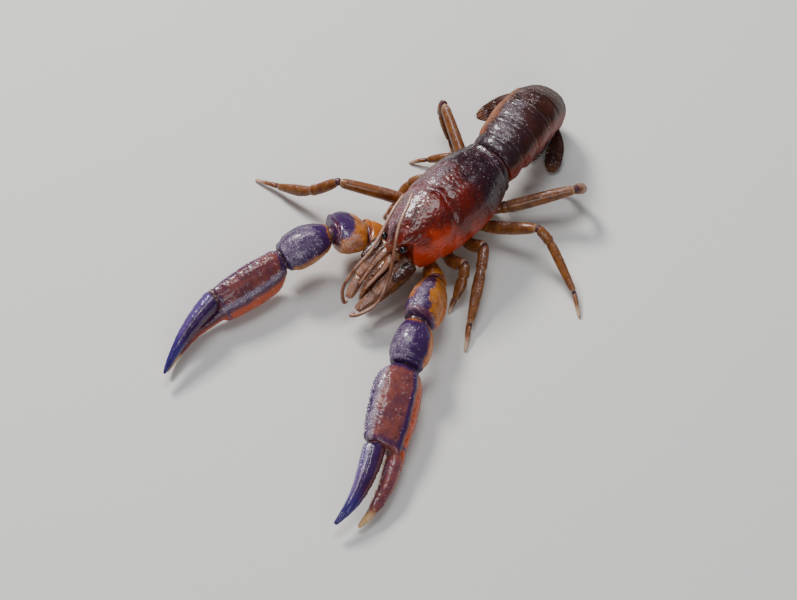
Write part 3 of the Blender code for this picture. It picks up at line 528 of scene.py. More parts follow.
class Finish(Enum):
    """The finishes of the animal, each named for where it is worn."""

    CARAPACE = ShellFinish(
        "wet_carapace_shell", body=paint(98, 18, 6), cloud=paint(72, 12, 7),
        ridge=paint(36, 15, 27), under=paint(184, 52, 10), tip=paint(120, 56, 28),
        patch_size=3.0, fleck_share=0.1, roughness=0.2, coat=0.8, relief=0.6)
    TAIL = ShellFinish(
        "wet_tail_shell", body=paint(62, 26, 15), cloud=paint(40, 16, 12),
        ridge=paint(44, 22, 32), under=paint(158, 84, 26), tip=paint(112, 26, 8),
        patch_size=2.4, fleck_share=0.12, roughness=0.3, coat=0.5, relief=0.42)
    FAN = ShellFinish(
        "wet_fan_shell", body=paint(66, 28, 13), cloud=paint(46, 18, 10),
        ridge=paint(50, 20, 12), under=paint(156, 92, 36), tip=paint(104, 56, 26),
        patch_size=1.4, fleck_share=0.2, roughness=0.28, coat=0.7, depth=0.15)
    BELLY = ShellFinish(
        "wet_belly_shell", body=paint(196, 132, 62), cloud=paint(178, 104, 44),
        ridge=paint(150, 82, 44), under=paint(214, 156, 80), tip=paint(150, 80, 38),
        patch_size=1.8, fleck_share=0.1, roughness=0.42, coat=0.45, depth=0.15)
    CLAW = ShellFinish(
        "wet_claw_shell", body=paint(126, 66, 60), cloud=paint(94, 50, 62),
        ridge=paint(58, 30, 78), under=paint(178, 66, 12), tip=paint(202, 160, 110),
        patch_size=2.4, fleck_share=0.16, roughness=0.24, coat=0.85, haze=0.34)
    ARM = ShellFinish(
        "wet_arm_shell", body=paint(180, 110, 34), cloud=paint(152, 82, 26),
        ridge=paint(56, 30, 78), under=paint(188, 102, 22), tip=paint(84, 32, 56),
        patch_size=1.8, fleck_share=0.24, roughness=0.24, coat=0.85, haze=0.3)
    FINGER = ShellFinish(
        "wet_finger_shell", body=paint(62, 34, 84), cloud=paint(44, 22, 64),
        ridge=paint(92, 68, 130), under=paint(84, 28, 42), tip=paint(50, 34, 106),
        patch_size=1.6, fleck_share=0.08, roughness=0.2, coat=0.9, haze=0.32)
    LIMB = ShellFinish(
        "wet_limb_shell", body=paint(132, 80, 32), cloud=paint(98, 52, 24),
        ridge=paint(122, 76, 50), under=paint(164, 94, 30), tip=paint(196, 166, 140),
        patch_size=1.4, fleck_share=0.2, roughness=0.26, coat=0.75, depth=0.14)
    # Its ridge tint, paler than the shell, is a painted highlight that the head limbs lay on their
    # upward faces
    FEELER = ShellFinish(
        "wet_feeler_shell", body=paint(144, 94, 66), cloud=paint(108, 66, 48),
        ridge=paint(184, 146, 128), under=paint(176, 92, 30), tip=paint(196, 152, 126),
        patch_size=1.4, fleck_share=0.12, roughness=0.14, coat=1.0, relief=0.06, depth=0.3)
    SKIN = ShellFinish(
        "wet_joint_skin", body=paint(84, 44, 50), cloud=paint(60, 30, 42),
        ridge=paint(150, 120, 118), under=paint(156, 82, 34), tip=paint(206, 190, 190),
        patch_size=0.9, fleck_share=0.05, roughness=0.4, coat=0.5, depth=0.2)
    KNOB = ShellFinish(
        "pale_knob", body=paint(188, 178, 198), cloud=paint(150, 130, 164),
        ridge=paint(214, 206, 220), under=paint(150, 110, 130), tip=paint(222, 216, 222),
        patch_size=0.5, fleck_share=0.0, roughness=0.22, coat=0.8)
    TOOTH = ShellFinish(
        "pale_tooth", body=paint(206, 184, 146), cloud=paint(182, 148, 110),
        ridge=paint(220, 206, 176), under=paint(170, 120, 80), tip=paint(226, 214, 190),
        patch_size=0.5, fleck_share=0.0, roughness=0.3, coat=0.6)
    BRISTLE = ShellFinish(
        "fine_bristle", body=paint(126, 78, 38), cloud=paint(92, 52, 28),
        ridge=paint(150, 104, 60), under=paint(128, 84, 46), tip=paint(176, 134, 84),
        patch_size=0.6, fleck_share=0.0, roughness=0.45, coat=0.2, depth=0.0)
    EYE = ShellFinish(
        "wet_eye_cornea", body=paint(10, 9, 12), cloud=paint(20, 16, 20),
        ridge=paint(40, 32, 40), under=paint(18, 14, 14), tip=paint(10, 10, 12),
        patch_size=0.4, fleck_share=0.0, roughness=0.1, coat=1.0, relief=0.06, depth=0.0)


# Mesh tools


def deselect() -> None:
    """Leave nothing selected, outside edit mode."""
    if bpy.context.object and bpy.context.object.mode != "OBJECT":
        bpy.ops.object.mode_set(mode="OBJECT")
    bpy.ops.object.select_all(action="DESELECT")


def choose(item: bpy.types.Object) -> bpy.types.Object:
    """Make one object the selected and active one."""
    deselect()
    item.select_set(True)
    bpy.context.view_layer.objects.active = item
    return item


def pick(item: bpy.types.Object, kind: str, rule: Callable[[object], bool]) -> None:
    """Enter edit mode and select only the verts, edges or faces that a rule picks.

    Args:
        item: The object.
        kind: VERT, EDGE or FACE.
        rule: Called with each element.
    """
    choose(item)
    bpy.ops.object.mode_set(mode="EDIT")
    bpy.ops.mesh.select_mode(type=kind)
    bpy.ops.mesh.select_all(action="DESELECT")
    mesh = bmesh.from_edit_mesh(item.data)
    for element in {"VERT": mesh.verts, "EDGE": mesh.edges, "FACE": mesh.faces}[kind]:
        if rule(element):
            element.select_set(True)
    mesh.select_flush_mode()
    bmesh.update_edit_mesh(item.data)


def rising(least: float) -> Callable[[object], bool]:
    """Rule that picks the edges whose ends differ in height by more than a least amount."""
    return lambda edge: abs(edge.verts[0].co.z - edge.verts[1].co.z) > least


def leave_edit() -> None:
    """Back to object mode."""
    bpy.ops.object.mode_set(mode="OBJECT")


def smooth_surface(item: bpy.types.Object, levels: int) -> None:
    """Subdivide an object's mesh into a smooth surface and apply it."""
    choose(item)
    modifier = item.modifiers.new("smooth", "SUBSURF")
    modifier.levels = levels
    modifier.render_levels = levels
    bpy.ops.object.modifier_apply(modifier=modifier.name)


def read_places(item: bpy.types.Object) -> np.ndarray:
    """Vertex places of a mesh, one row each."""
    flat = np.empty(len(item.data.vertices) * 3)
    item.data.vertices.foreach_get("co", flat)
    return flat.reshape(-1, 3)


def read_normals(item: bpy.types.Object) -> np.ndarray:
    """Vertex normals of a mesh, one row each."""
    flat = np.empty(len(item.data.vertices) * 3)
    item.data.vertex_normals.foreach_get("vector", flat)
    return flat.reshape(-1, 3)


def write_places(item: bpy.types.Object, places: np.ndarray) -> None:
    """Set the vertex places of a mesh."""
    item.data.vertices.foreach_set("co", places.reshape(-1))
    item.data.update()


class Skin:
    """One visible shell under work: places in body millimetres, and its masks."""

    def __init__(self, item: bpy.types.Object, places: np.ndarray) -> None:
        """Take over an object and its places in body millimetres."""
        self.item = item
        self.places = places
        self.masks: dict[str, np.ndarray] = {}

    @classmethod
    def from_node(cls, node: str, name: str, levels: int, swell: float = 0.0) -> "Skin":
        """Copy a CAD node's mesh, merge it to quads and subdivide it.

        Args:
            node: The CAD node.
            name: Name of the new piece.
            levels: Levels of subdivision.
            swell: Millimetres to push the surface out, against the smoothing's shrink.

        Returns:
            The shell, ready to sculpt.
        """
        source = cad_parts[node]
        item = bpy.data.objects.new(name, source.data.copy())
        item.data.name = name
        item.data.materials.clear()
        bpy.context.scene.collection.objects.link(item)
        choose(item)
        if item.data.has_custom_normals:
            bpy.ops.mesh.customdata_custom_splitnormals_clear()
        bpy.ops.object.mode_set(mode="EDIT")
        bpy.ops.mesh.select_all(action="SELECT")
        bpy.ops.mesh.remove_doubles(threshold=MERGE_GAP)
        bpy.ops.mesh.tris_convert_to_quads(face_threshold=QUAD_BEND, shape_threshold=QUAD_SKEW)
        leave_edit()
        smooth_surface(item, levels)
        skin = cls(item, SPACE.to_body(read_places(item)))
        if swell:
            skin.push(np.full(len(skin.places), swell))
        return skin

    @classmethod
    def from_faces(cls, name: str, places: np.ndarray,
                   faces: Sequence[tuple[int, ...]]) -> "Skin":
        """Make a new piece.

        Args:
            name: Name of the new piece.
            places: Its vertices, in body millimetres.
            faces: Numbers of the vertices round each face.

        Returns:
            The shell, ready to mask and settle.
        """
        data = bpy.data.meshes.new(name)
        data.from_pydata(SPACE.to_row(places).tolist(), [], faces)
        data.update()
        item = bpy.data.objects.new(name, data)
        bpy.context.scene.collection.objects.link(item)
        return cls(item, places)

    def normals(self) -> np.ndarray:
        """Normals of the shell as it now is."""
        write_places(self.item, SPACE.to_row(self.places))
        return read_normals(self.item)

    def push(self, distance: np.ndarray) -> None:
        """Move every vertex out along its normal, in millimetres."""
        self.places = self.places + self.normals() * distance[:, None]

    def sleeve(self, axis: np.ndarray, share: np.ndarray, reach: float) -> None:
        """Draw both ends out along the axis as thin lips, so neighbours tuck together."""
        flat = ramp(0.0, 0.5, 1.0 - np.abs(self.normals() @ axis))
        ends = ramp(0.86, 0.99, share) - 0.6 * ramp(0.14, 0.01, share)
        self.places = self.places + axis * (reach * ends * flat)[:, None]

    def crest(self, origin: Sequence[float], axis: np.ndarray, direction: np.ndarray,
              runs: Sequence[float]) -> list[tuple[np.ndarray, np.ndarray]]:
        """Find the outermost place in a direction at several runs along an axis.

        Args:
            origin: Where the runs start.
            axis: Direction of the runs.
            direction: Direction in which the outermost place is sought.
            runs: Distances along the axis, in millimetres.

        Returns:
            Each place with its normal.
        """
        offset = self.places - np.asarray(origin)
        run, height = offset @ axis, offset @ direction
        normals = self.normals()
        found = []
        for value in runs:
            near = np.flatnonzero(np.abs(run - value) < 0.25)
            if len(near):
                best = near[height[near].argmax()]
                found.append((self.places[best], normals[best]))
        return found

    def mask(self, name: str, values: np.ndarray) -> None:
        """Set one of the masks: under, ridge, tip, or film, which places a painted highlight of
        sheen and glints.
        """
        self.masks[name] = np.clip(values, 0.0, 1.0)

    def settle(self, finish: Finish, slot: str, *nodes: str) -> bpy.types.Object:
        """Write the shell back, dress it and have it ride and stand for its nodes.

        Args:
            finish: What it wears.
            slot: The record's material slot; not used.
            nodes: CAD nodes that it stands for.

        Returns:
            The object.
        """
        self.places[:, 2] = np.maximum(self.places[:, 2], 0.0)
        write_places(self.item, SPACE.to_row(self.places))
        for name, values in self.masks.items():
            data = self.item.data.attributes.new(name, "FLOAT", "POINT")
            data.data.foreach_set("value", values.astype(np.float32))
        dress(self.item, finish)
        if nodes:
            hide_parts(*nodes)
        return self.item


def dress(item: bpy.types.Object, finish: Finish) -> None:
    """Give a finished piece its material, smooth shading and ride."""
    item.data.materials.clear()
    item.data.materials.append(finish.value.material())
    item.data.shade_smooth()
    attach(item, "root")


def axes_to_matrix(origin: Sequence[float], along: Sequence[float], up: Sequence[float],
                   size: Sequence[float]) -> Matrix:
    """Place a template: its Z goes along, its Y goes up as far as it can.

    Args:
        origin: Where it stands, body millimetres.
        along: Direction of its Z axis.
        up: Direction its Y axis leans to.
        size: Scale along its X, Y and Z.

    Returns:
        The matrix, in body millimetres.
    """
    z = Vector(unit(along))
    y = Vector(up) - z * z.dot(Vector(up))
    if y.length < 1e-6:
        y = z.orthogonal()
    y.normalize()
    x = y.cross(z)
    matrix = Matrix.Identity(4)
    for column, (axis, scale) in enumerate(zip((x, y, z), size)):
        for row in range(3):
            matrix[row][column] = axis[row] * scale
    for row in range(3):
        matrix[row][3] = origin[row]
    return matrix


class Template:
    """A small form that is modelled once and then stamped in many places."""

    def __init__(self, item: bpy.types.Object) -> None:
        """Read a modelled object and remove it."""
        self.places = read_places(item)
        self.faces = [tuple(face.vertices) for face in item.data.polygons]
        bpy.data.objects.remove(item, do_unlink=True)

    def along(self, name: str, points: Sequence[Point], radii: Sequence[float],
              flat: float = 1.0) -> Skin:
        """Run a rod along a smooth curve.

        Args:
            name: Name of the new piece.
            points: Points of the curve, body millimetres.
            radii: Radius at even shares of its run.
            flat: Height over width of its section.

        Returns:
            The rod.
        """
        line = curve_points(points, ROD_STEPS + 1)
        share = self.places[:, 2]
        index = np.clip((share * ROD_STEPS).round().astype(int), 0, ROD_STEPS)
        heading = np.gradient(line, axis=0)
        heading /= np.linalg.norm(heading, axis=1)[:, None]
        side = np.cross(heading, UP)
        side /= np.maximum(np.linalg.norm(side, axis=1), 1e-6)[:, None]
        lift = np.cross(side, heading)
        radius = np.interp(share, np.linspace(0, 1, len(radii)), radii)[:, None]
        places = (line[index] + side[index] * self.places[:, :1] * radius
                  + lift[index] * self.places[:, 1:2] * radius * flat)
        return Skin.from_faces(name, places, self.faces)

    def stamp(self, name: str, matrices: Sequence[Matrix]) -> Skin:
        """Copy the form to every place, as one mesh."""
        count = len(self.places)
        rows = []
        faces = []
        for index, matrix in enumerate(matrices):
            array = np.array(matrix)
            rows.append(self.places @ array[:3, :3].T + array[:3, 3])
            faces += [tuple(v + index * count for v in face) for face in self.faces]
        return Skin.from_faces(name, np.vstack(rows), faces)


def model_bristle() -> Template:
    """A tapered bristle one unit long along Z, bent towards Y."""
    deselect()
    bpy.ops.mesh.primitive_cone_add(vertices=4, radius1=1.0, radius2=0.12, depth=1.0,
                                    end_fill_type="NGON", location=(0, 0, 0.5))
    item = bpy.context.object
    pick(item, "EDGE", rising(0.5))
    bpy.ops.mesh.subdivide(number_cuts=2)
    leave_edit()
    places = read_places(item)
    places[:, 1] += 6.0 * places[:, 2] ** 2
    write_places(item, places)
    return Template(item)


def model_knob() -> Template:
    """A rounded knob one unit high: wide foot, blunt crown leaning towards Y."""
    deselect()
    bpy.ops.mesh.primitive_uv_sphere_add(segments=14, ring_count=9, radius=1.0)
    item = bpy.context.object
    pick(item, "VERT", lambda v: v.co.z > 0.6)
    bpy.ops.transform.resize(value=(0.75, 0.75, 1.0))
    bpy.ops.transform.translate(value=(0.0, 0.22, 0.1))
    pick(item, "VERT", lambda v: v.co.z < -0.2)
    bpy.ops.transform.resize(value=(1.12, 1.12, 0.6))
    leave_edit()
    return Template(item)


def model_rod() -> Template:
    """A closed rod one unit in radius whose Z runs from 0 to 1 in many even rings."""
    deselect()
    bpy.ops.mesh.primitive_cylinder_add(vertices=10, radius=1.0, depth=1.0,
                                        end_fill_type="TRIFAN", location=(0, 0, 0.5))
    item = bpy.context.object
    choose(item)
    bpy.ops.object.transform_apply(location=True, rotation=False, scale=False)
    pick(item, "EDGE", rising(0.5))
    bpy.ops.mesh.subdivide(number_cuts=7)
    for _ in range(3):
        pick(item, "EDGE", rising(1e-4))
        bpy.ops.mesh.subdivide(number_cuts=1)
    leave_edit()
    return Template(item)


def model_blade() -> Template:
    """A thin leaf one unit long along Z and two wide along X, cupped towards Y."""
    deselect()
    bpy.ops.mesh.primitive_cube_add(size=0.24)
    item = bpy.context.object
    for reach, wide in ((0.2, 2.4), (0.3, 1.5), (0.25, 0.75), (0.15, 0.4)):
        pick(item, "FACE", lambda f: f.normal.z > 0.9)
        bpy.ops.mesh.extrude_region_move(TRANSFORM_OT_translate={"value": (0, 0, reach)})
        bpy.ops.transform.resize(value=(wide, 0.9, 1.0))
    leave_edit()
    places = read_places(item)
    places[:, 2] = (places[:, 2] - places[:, 2].min()) / np.ptp(places[:, 2])
    places[:, 0] /= np.abs(places[:, 0]).max()
    places[:, 1] += 0.35 * places[:, 0] ** 2 - 0.1
    write_places(item, places)
    smooth_surface(item, 2)
    return Template(item)


def model_cuff() -> Template:
    """A folded joint skin round the Z axis, one unit in radius, between -1 and 1."""
    deselect()
    bpy.ops.mesh.primitive_cylinder_add(vertices=28, radius=1.0, depth=2.0,
                                        end_fill_type="NGON")
    item = bpy.context.object
    pick(item, "EDGE", rising(1.0))
    bpy.ops.mesh.subdivide(number_cuts=8)
    pick(item, "FACE", lambda f: abs(f.normal.z) > 0.9)
    for _ in range(2):
        bpy.ops.mesh.inset(thickness=0.3, depth=0.0)
    leave_edit()
    places = read_places(item)
    reach = np.linalg.norm(places[:, :2], axis=1)
    folds = 1.0 - 0.1 * np.cos(places[:, 2] * math.pi * 4.5) - 0.22 * places[:, 2] ** 4
    places[:, :2] *= np.where(reach > 0.99, folds, 0.72)[:, None]
    write_places(item, places)
    smooth_surface(item, 1)
    return Template(item)


CUFF = model_cuff()
BRISTLE = model_bristle()
KNOB = model_knob()
ROD = model_rod()
BLADE = model_blade()


def grow_bristles(name: str, skin: Skin, rule: np.ndarray, count: int, length: float,
                  lean: Sequence[float], seed: int, slot: str,
                  radius: float = 0.035) -> bpy.types.Object:
    """Grow bristles out of the places of a shell that a rule picks.

    Args:
        name: Name of the new piece.
        skin: The shell.
        rule: True for each vertex that may carry one.
        count: How many, at most.
        length: Their length, in millimetres.
        lean: Direction that they lean to, added to the shell's normal.
        seed: Seed of the random choice.
        slot: The record's material slot.
        radius: Radius at their foot.

    Returns:
        The bristles as one piece.
    """
    dice = np.random.default_rng(seed)
    found = np.flatnonzero(rule)
    chosen = dice.choice(found, size=min(count, len(found)), replace=False)
    normals = skin.normals()
    matrices = []
    for index in chosen:
        wobble = dice.normal(0.0, 0.16, 3)
        heading = unit(normals[index] + np.asarray(lean) + wobble)
        size = length * dice.uniform(0.6, 1.15)
        root = skin.places[index] - normals[index] * 0.05
        matrices.append(axes_to_matrix(root, heading, lean, (radius, radius, size)))
    tuft = BRISTLE.stamp(name, matrices)
    return tuft.settle(Finish.BRISTLE, slot)


def plant_studs(name: str, spots: Sequence[tuple[np.ndarray, np.ndarray]], size: float,
                lean: np.ndarray, finish: Finish, slot: str, seed: int) -> None:
    """Set a rounded stud on each spot, each a little different in size.

    Args:
        name: Name of the new piece.
        spots: Place and normal of each stud.
        size: Radius of a stud, in millimetres.
        lean: Direction that their crowns lean to.
        finish: What they wear.
        slot: The record's material slot.
        seed: Seed of the random sizes.
    """
    dice = np.random.default_rng(seed)
    matrices = []
    for place, normal in spots:
        scale = size * dice.uniform(0.75, 1.2)
        matrices.append(axes_to_matrix(place, normal, lean, (scale, scale * 1.15, scale)))
    KNOB.stamp(name, matrices).settle(finish, slot)


# The shield


@dataclass
class Shield:
    """Carapace over head and thorax, with the plate between the legs."""

    stations: tuple[tuple[float, ...], ...] = (
        (-14.4, 1.35, 11.5, 0.9, 9.4), (-13.0, 2.35, 12.6, 1.9, 8.2),
        (-11.2, 3.8, 13.8, 3.5, 6.5), (-9.0, 4.9, 14.6, 4.8, 6.0),
        (-6.0, 5.85, 15.2, 5.8, 5.7), (-2.0, 6.45, 15.75, 6.3, 5.3),
        (3.0, 6.5, 15.9, 6.4, 5.2), (7.5, 5.85, 15.4, 6.1, 5.5),
        (11.2, 4.55, 14.4, 5.2, 6.6))
    crown_share: float = 0.62
    cervical_y: float = -4.6
    levels: int = 3

    def girth(self, places: np.ndarray) -> np.ndarray:
        """Share of the half girth at each place: 0 on the crest, 1 at the lower margin."""
        table = np.array(self.stations)
        y = places[:, 1]
        half, top, rise, margin = (np.interp(y, table[:, 0], table[:, k]) for k in range(1, 5))
        bend = -0.35 * np.maximum(0.0, (y - 3.0) / 8.2) ** 1.5
        across = np.abs(places[:, 0] - bend)
        height = places[:, 2] - (top - rise)
        angle = np.arctan2(np.maximum(height, 0) / rise, across / half)
        crown = self.crown_share * (1 - angle / (math.pi / 2))
        drop = -height / np.maximum(top - rise - margin, 0.3)
        return np.where(height > 0, crown, self.crown_share + (1 - self.crown_share) * drop)

    def cervical_line(self, share: np.ndarray) -> np.ndarray:
        """Where the cervical groove runs, as y for a share of the girth."""
        rise = 3.4 * np.maximum(1 - share, 0) ** 1.6
        return self.cervical_y + rise - 4.4 * np.maximum(share - 0.55, 0)

    def build(self) -> None:
        """Sculpt and dress the carapace and the plate between the legs."""
        skin = Skin.from_node("carapace", "carapace_shell", self.levels)
        self.sculpt(skin)
        self.colour(skin)
        skin.settle(Finish.CARAPACE, "carapace_shell", "carapace")
        share = self.girth(skin.places)
        y = skin.places[:, 1]
        margin = (share > 0.97) & (share < 1.03) & (y > -9.0) & (y < 10.6)
        grow_bristles("carapace_margin_fringe", skin, margin, count=520, length=0.8,
                      lean=(0, 0.3, -1.2), seed=11, slot="carapace_shell", radius=0.022)
        downy = (share > 0.3) & (share < 0.9) & (y < 10.0)
        grow_bristles("carapace_down", skin, downy, count=420, length=0.3,
                      lean=(0, -0.8, 0.2), seed=12, slot="carapace_shell", radius=0.016)
        plate = Skin.from_node("thorax_underside", "thorax_plate", 3)
        y = plate.places[:, 1]
        keel = crease(plate.places[:, 0], 0.5) * (plate.places[:, 2] < 3.4)
        ribs = 0.14 * np.cos(y * 2 * math.pi / 3.9)
        plate.push(0.25 * keel + ribs * (plate.places[:, 2] < 4.5))
        plate.mask("ridge", ramp(0.3, 0.8, keel))
        plate.settle(Finish.BELLY, "belly_shell", "thorax_underside")

    def sculpt(self, skin: Skin) -> None:
        """Cut the grooves and raise the keels, rims and fine bumps."""
        places = skin.places
        y = places[:, 1]
        side = np.abs(places[:, 0])
        share = self.girth(places)
        normal = skin.normals()
        outside = ramp(-0.2, 0.25, normal[:, 2] + np.abs(normal[:, 0]) * 1.2)
        outside *= ramp(-0.9, -0.6, normal[:, 1])
        line = self.cervical_line(share)
        behind = ramp(0.3, 2.5, y - line)
        push = -0.15 * crease(y - line, 0.42) * (1 - 0.3 * share)
        push += 0.05 * crease(y - line + 0.9, 0.5)
        push += -0.06 * crease(side - 1.55, 0.26) * behind * ramp(11.6, 9.6, y)
        push += 0.16 * crease(y - 10.85, 0.28) - 0.18 * crease(y - 10.15, 0.22)
        push += 0.14 * crease(share - 0.98, 0.03) - 0.16 * crease(share - 0.9, 0.025)
        front = ramp(-8.2, -10.0, y)
        push += 0.24 * crease(share - 0.30, 0.035) * ramp(-7.4, -8.6, y) * ramp(-11.4, -10.6, y)
        push += 0.2 * crease(share - 0.13, 0.04) * front
        push -= 0.1 * crease(share, 0.06) * front
        hepatic = crease(y + 7.6, 1.5) * crease(share - 0.62, 0.12)
        rough = np.abs(clouds(places, 0.5, 3.7, 2))
        push += 0.16 * hepatic * ramp(0.2, 0.6, rough)
        push += 0.05 * clouds(places, 2.2, 9.1, 3)
        push += 0.03 * clouds(places, 0.55, 2.3, 2)
        push -= 0.06 * pits(places, 0.75, 1.3)
        skin.push(push * outside)

    def colour(self, skin: Skin) -> None:
        """Set the masks: red-orange flanks, mauve rear, and a painted highlight of pale sheen and
        glints on the right of the crest.
        """
        places = skin.places
        x, y = places[:, 0], places[:, 1]
        share = self.girth(places)
        drift = 0.14 * clouds(places, 3.0, 5.0, 3)
        cheek = ramp(0.0, -7.0, y)
        low = 0.26 - 0.16 * cheek
        flank = ramp(low, low + 0.5, share + drift)
        skin.mask("under", flank * ramp(12.5, 4.0, y + 6 * drift) * (0.7 + 0.3 * cheek))
        rear = ramp(-2.0, 7.0, y + 10 * drift) * ramp(0.95, 0.45, share)
        skin.mask("ridge", rear * (0.9 + 1.5 * drift))
        skin.mask("tip", ramp(-11.6, -13.6, y) * ramp(0.5, 0.2, share))
        # Painted highlight: pale sheen and glints in a band on the right of the crest, a weaker
        # wash over the crown and a faint strip along the cervical groove, standing in for the light
        # that the wet shell catches
        band = 1.2 * crease(x + 3.1 + 0.04 * y, 2.1) * ramp(9.5, 0.0, y) * ramp(-14.5, -12.4, y)
        crown = crease(share, 0.42) * ramp(-1.0, 6.0, y) * 0.35
        groove = 0.2 * crease(y - self.cervical_line(share), 0.5)
        skin.mask("film", np.maximum(band, crown) * (0.9 + 1.5 * drift) + groove)


# The tail


@dataclass
class Tail:
    """Six ringed segments and the fan that curls under them."""

    line: tuple[Point, ...] = (
        (-0.2, 11.6, 10.0), (-0.6, 14.4, 10.3), (-1.4, 18.1, 10.5), (-2.2, 21.8, 10.1),
        (-3.0, 25.3, 8.8), (-3.6, 27.6, 6.5), (-3.9, 27.8, 4.1))
    aside: Point = (1.0, 0.24, 0.0)
    rims: tuple[float, ...] = (0.75, 0.75, 0.6, 0.4, 0.25, 0.15)
    golds: tuple[float, ...] = (0.2, 0.7, 0.7, 0.5, 0.1, 0.0)
    darks: tuple[float, ...] = (1.0, 0.7, 0.5, 0.2, 0.2, 0.2)
    # Strength of the painted highlight, a pale sheen with glints, on the back of each ring
    sheen_strengths: tuple[float, ...] = (0.6, 0.95, 0.95, 0.6, 0.42, 0.2)
    levels: int = 3

    def build(self) -> None:
        """Build the segments, then the fan."""
        for index in range(6):
            self.build_segment(index)
        waist = axes_to_matrix((-0.2, 11.42, 10.7), (-0.1, 1.0, 0.05), UP, (3.75, 2.85, 0.8))
        skin = CUFF.stamp("waist_joint_skin", [waist])
        skin.mask("ridge", ramp(9.0, 12.0, skin.places[:, 2]) * 0.3)
        skin.settle(Finish.SKIN, "tail_shell")
        for name in ("telson", "uropod_left_inner", "uropod_left_outer",
                     "uropod_right_inner", "uropod_right_outer"):
            self.build_plate(name)

    def build_segment(self, index: int) -> None:
        """One ring: smooth back with a front furrow, rimmed rear edge and hanging flaps."""
        start, end = np.array(self.line[index]), np.array(self.line[index + 1])
        axis = unit(end - start)
        length = float(np.linalg.norm(end - start))
        side = unit(np.array(self.aside) - axis * axis.dot(self.aside))
        lift = np.cross(side, axis)
        ring = f"tail_ring_{index + 1}"
        skin = Skin.from_node(f"abdomen_{index + 1}", ring, self.levels, 0.1)
        offset = skin.places - start
        run = offset @ axis / length
        height = offset @ lift
        across = offset @ side
        back = ramp(-1.2, 0.4, height)
        rim = 0.1 * crease(run - 0.95, 0.07) - 0.07 * crease(run - 0.83, 0.04)
        push = self.rims[index] * rim
        push += -0.05 * crease(run - 0.2, 0.1) + 0.06 * crease(run - 0.5, 0.25)
        push += 0.06 * clouds(skin.places, 1.8, 2.0 + index, 3)
        push -= 0.05 * pits(skin.places, 0.7, 4.4)
        flap = ramp(0.2, -1.2, height) * ramp(3.2, 4.4, np.abs(across))
        push += 0.12 * flap * crease(run - 0.5, 0.25)
        skin.push(push * np.maximum(back, 0.6 * flap))
        normal = skin.normals()
        stretch = axis[None, :] * (0.4 * crease(run - 1.0, 0.22) * back)[:, None]
        skin.places = skin.places + stretch * ramp(-0.4, 0.3, normal @ axis)[:, None]
        drift = 0.2 * clouds(skin.places, 2.0, 7.7, 3)
        gold = ramp(-2.4, -3.8, across + 2 * drift) * self.golds[index]
        skin.mask("under", np.maximum(ramp(0.5, -1.6, height + 2.0 * drift), gold))
        skin.mask("tip", ramp(0.2, 2.6, across + 3 * drift) * ramp(3.0, 0.4, height))
        skin.mask("ridge", ramp(1.6, 3.4, height + 3 * drift) * self.darks[index])
        # Painted highlight: pale sheen and glints on the back of the ring, left of its middle
        patch = ramp(1.4, 3.4, height) * crease(across + 1.2, 2.6)
        skin.mask("film", self.sheen_strengths[index] * patch * (0.85 + 1.6 * drift))
        skin.settle(Finish.TAIL, "tail_shell", f"abdomen_{index + 1}")
        hem = (height < -1.5) & (np.abs(across) > 3.2)
        grow_bristles(f"{ring}_fringe", skin, hem, count=110, length=0.6, lean=-lift * 1.2,
                      seed=20 + index, slot="tail_shell", radius=0.02)
        if 1 <= index <= 4:
            self.build_pleopods(index, (start + end) / 2, side, lift, axis)

    def build_pleopods(self, index: int, centre: np.ndarray, side: np.ndarray,
                       lift: np.ndarray, axis: np.ndarray) -> None:
        """The pair of small swimming limbs under one ring: a stem and two leaves each.

        Args:
            index: Place of the ring, counted from 0.
            centre: Middle of the ring.
            side: Direction to the animal's left.
            lift: Direction to the ring's back.
            axis: Direction to the ring's rear.
        """
        leaves = []
        for sign in (1.0, -1.0):
            root = centre + side * sign * 2.2 - lift * 2.3
            elbow = root - lift * 1.0 - side * sign * 0.3
            stem = ROD.along(f"pleopod_{index + 1}_{'left' if sign > 0 else 'right'}_stem",
                             (tuple(root), tuple((root + elbow) / 2 + axis * 0.1),
                              tuple(elbow)), (0.36, 0.3, 0.26))
            stem.settle(Finish.BELLY, "belly_shell")
            for spread, length in ((0.45, 2.1), (-0.25, 1.8)):
                heading = unit(-lift * 0.8 - axis * 0.75 + side * sign * spread)
                leaves.append(axes_to_matrix(elbow, heading, lift, (0.42, 0.3, length)))
        BLADE.stamp(f"pleopod_{index + 1}_leaves", leaves).settle(Finish.BELLY, "belly_shell")

    def build_plate(self, node: str) -> None:
        """One plate of the fan, with its midrib, cross suture and fine ribs."""
        skin = Skin.from_node(node, f"{node}_plate", 4, 0.03)
        centre = skin.places.mean(axis=0)
        spread = skin.places - centre
        _, _, axes = np.linalg.svd(spread, full_matrices=False)
        axis = axes[0] * (-1 if axes[0][1] > 0 else 1)
        side, lift = axes[1], axes[2] * (1 if axes[2][2] > 0 else -1)
        run, across = spread @ axis, spread @ side
        length = run.max() - run.min()
        share = (run - run.min()) / length
        normal = skin.normals()
        face = ramp(0.1, 0.6, np.abs(normal @ lift))
        ribs = 0.035 * np.cos(across * 2 * math.pi / 0.42) * ramp(0.45, 0.7, share)
        push = 0.16 * crease(across, 0.2) * ramp(0.95, 0.6, share) + ribs
        if "outer" in node or node == "telson":
            suture = crease(share - 0.62 - 0.02 * np.cos(across * 9), 0.02)
            push -= 0.16 * suture
        skin.push(push * face)
        skin.mask("ridge", ramp(0.4, 0.05, share) + crease(across, 0.22) * 0.7)
        skin.mask("tip", ramp(0.74, 0.98, share))
